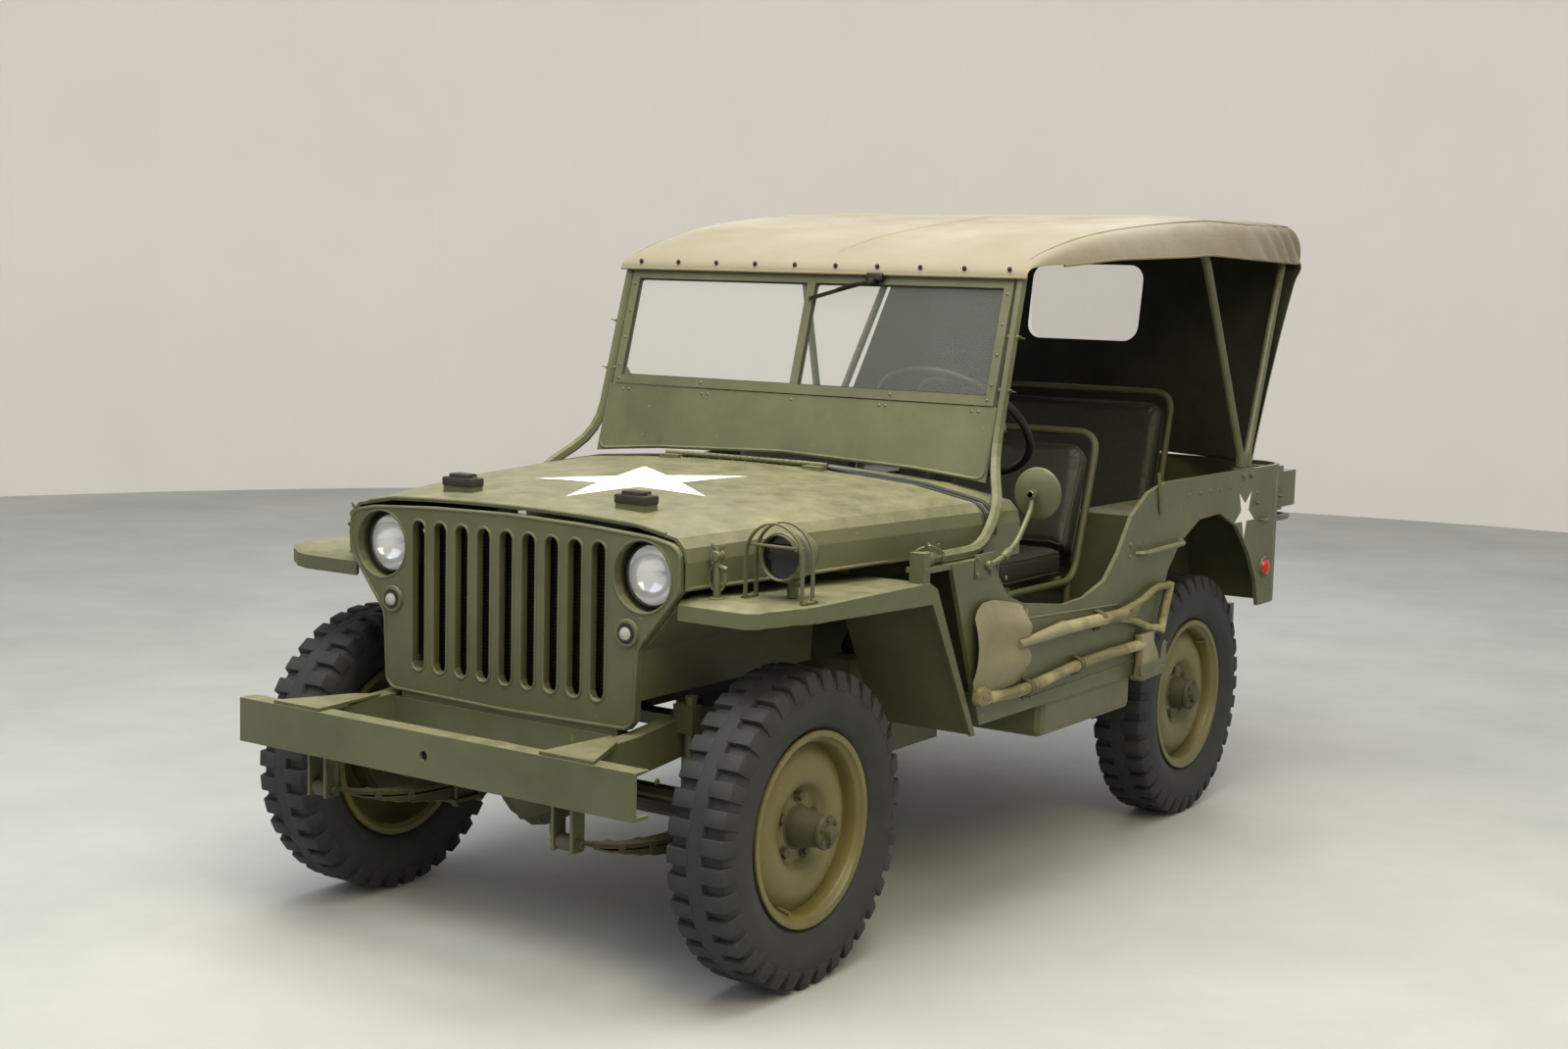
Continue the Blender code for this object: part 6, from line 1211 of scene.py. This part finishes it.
# Mirror on its bent arm
mirror = dict(x=0.778, y=-0.300, z=1.058)
mirrorSpot = Matrix.Translation(tuple(mirror.values())) @ toFront
dish = turned([(0.0130, 0.0), (0.0122, 0.022), (0.0085, 0.046), (0.0015, 0.0625), (-0.0040, 0.0655), (-0.0075, 0.0645),
               (-0.0068, 0.0605), (-0.0030, 0.0600), (-0.0030, 0.0)], 44, closed=False, matrix=mirrorSpot)
absorb(dish, bar((mirror["x"], -0.308, mirror["z"]), (mirror["x"], -0.338, mirror["z"]), 0.0085, 14, bevel=0.001))
absorb(dish, hexHead(0.0100, 0.008), facing((mirror["x"], -0.330, mirror["z"]), (0, -1, 0)))
armRoute = [(0.7820, -0.545, 0.902), (0.7850, -0.480, 0.914), (0.7850, -0.410, 0.945), (0.7810, -0.335, 1.020),
            (0.7780, -0.322, 1.056)]
absorb(dish, tube(bent(armRoute, 0.05, 5), 0.0068, 3))
absorb(dish, bar((0.7850, -0.478, 0.914), (0.7848, -0.448, 0.928), 0.0110, 14, bevel=0.002))
absorb(dish, block((0.7753, -0.600, 0.872), (0.7785, -0.515, 0.932), 0.001))
absorb(dish, bar((0.7760, -0.545, 0.902), (0.7905, -0.545, 0.902), 0.0120, 16, bevel=0.002))
scatter(dish, hexHead(0.0060, 0.004), [facing((0.7785, y, z), (1, 0, 0)) for y, z in ((-0.590, 0.882), (-0.590, 0.922),
                                                                                     (-0.525, 0.882))])
finish("mirror_dish", dish, olivePaint, replaces=("mirror",))
silverLine = [(-0.0032, 0.0), (-0.0032, 0.0598), (-0.0055, 0.0598), (-0.0058, 0.0)]
finish("mirror_glass", turned(silverLine, 40, closed=False, matrix=mirrorSpot), silvered)

# Side stars, reflectors, tail lamps, straps' loops and body bolts
tubTree = surfaceOf("tub")


def onSide(side, y, z, lift):
    hit = tubTree.ray_cast(Vector((side * 1.2, y, z)), Vector((-side, 0, 0)))
    return Vector((hit[0].x + side * lift, y, z)) if hit[0] else Vector((side * (car["bodyHalf"] + lift), y, z))


def outOf(side, y, z):
    return facing(onSide(side, y, z, 0.0), (side, 0, 0))


for name, side in (("left", 1), ("right", -1)):
    decal = bmesh.new()
    spots = [onSide(side, 1.055 + y, 0.900 + z, 0.0009) for y, z in starOutline(0.079, -90)]
    decal.faces.new([decal.verts.new(spot) for spot in spots])
    bmesh.ops.solidify(decal, geom=decal.faces[:], thickness=0.0005)
    finish("side_star_" + name, decal, whitePaint, angle=60)
    toSide = Matrix.Rotation(0.0 if side > 0 else math.pi, 4, "Z")
    lens = Matrix.Translation(onSide(side, 1.231, 0.719, 0.0)) @ toSide
    red = turned([(0.0180, 0.0), (0.0160, 0.013), (0.0100, 0.0235), (0.0, 0.0275), (0.0, 0.0)], 28, closed=False,
                 matrix=lens)
    rear = Matrix.Translation((side * 0.62, 1.4512, 0.72)) @ Matrix.Rotation(math.pi / 2, 4, "Z")
    absorb(red, turned([(0.0060, 0.0), (0.0050, 0.016), (0.0020, 0.0270), (0.0, 0.0280), (0.0, 0.0)], 28, closed=False,
                       matrix=rear))
    finish("red_lenses_" + name, red, redLens)
    bezels = turned([(0.0, 0.0270), (0.0060, 0.0270), (0.0060, 0.0310), (0.0, 0.0330)], 28, matrix=lens)
    absorb(bezels, turned([(0.0, 0.0275), (0.0050, 0.0275), (0.0050, 0.0320), (0.0, 0.0335)], 28, matrix=rear))
    rail = [onSide(side, 1.178, 0.870, 0.0), onSide(side, 1.178, 0.870, 0.014), onSide(side, 1.400, 0.856, 0.014),
            onSide(side, 1.400, 0.856, 0.0)]
    absorb(bezels, tube(bent(rail, 0.012, 4), 0.0050, 3))
    for y, z in ((0.262, 0.860), (0.624, 0.844)):
        scatter(bezels, domeHead(0.0062), [outOf(side, y, z + lift) for lift in (-0.016, 0.016)])
    rows = [(-0.10 + 0.135 * k, 0.545) for k in range(3)] + [(0.640 + 0.075 * k, 0.985) for k in range(6)]
    rows += [(1.150, 0.955), (1.150, 0.895), (1.400, 0.955), (1.400, 0.895), (-0.44, 0.770), (-0.44, 0.860),
             (1.30, 0.640), (1.36, 0.640)]
    scatter(bezels, domeHead(0.0062), [outOf(side, y, z) for y, z in rows])
    for y in (1.150, 1.400):
        absorb(bezels, wingNut(0.010), outOf(side, y, 0.925))
    for y, z, length, rise in ((-0.322, 0.745, 0.518, -0.025), (-0.294, 0.540, 0.606, 0.009)):
        ridge = [onSide(side, y + length * k / 12, z + rise * k / 12, 0.0005) for k in range(13)]
        absorb(bezels, tube(ridge, 0.0030, 2))
    for foot in (-0.030, 0.030):  # the bow pivots' bolts
        absorb(bezels, hexHead(0.0090, 0.007), facing((side * 0.775, bows["footY"] + foot, 1.014), (side, 0, 0)))
    finish("body_fittings_" + name, bezels, olivePaint)
print("sides made")

# Bumper bolts, frame rivets and the axles' small parts
under = bmesh.new()
for x in (-0.500, -0.400, -0.345, 0.345, 0.400, 0.500):
    scatter(under, hexHead(0.0095, 0.008), [facing((x, car["bumper"] + 0.048, z), (0, 1, 0)) for z in (0.488, 0.538)])
for side in (1, -1):
    scatter(under, domeHead(0.0085), [facing((side * 0.3940, -1.50 + 0.17 * k, 0.455), (side, 0, 0))
                                      for k in range(17)])
finish("frame_rivets", under, olivePaint)
casing = dict(x=-0.09, circle=0.098)  # the differential's cover
for name, axleY, way in (("front", car["front"], -1), ("rear", car["rear"], 1)):
    cover = bmesh.new()
    spots = upright(casing["x"], axleY + way * 0.050, car["axleZ"], casing["circle"], wholeTurn(10))
    scatter(cover, hexHead(0.0070, 0.007), [facing(spot, (0, way, 0)) for spot in spots])
    plug = [(casing["x"], axleY + way * reach, car["axleZ"] + 0.012) for reach in (0.095, 0.122)]
    absorb(cover, bar(*plug, 0.012, 6))
    finish("axle_bolts_" + name, cover, runningGear)
print("underside made")
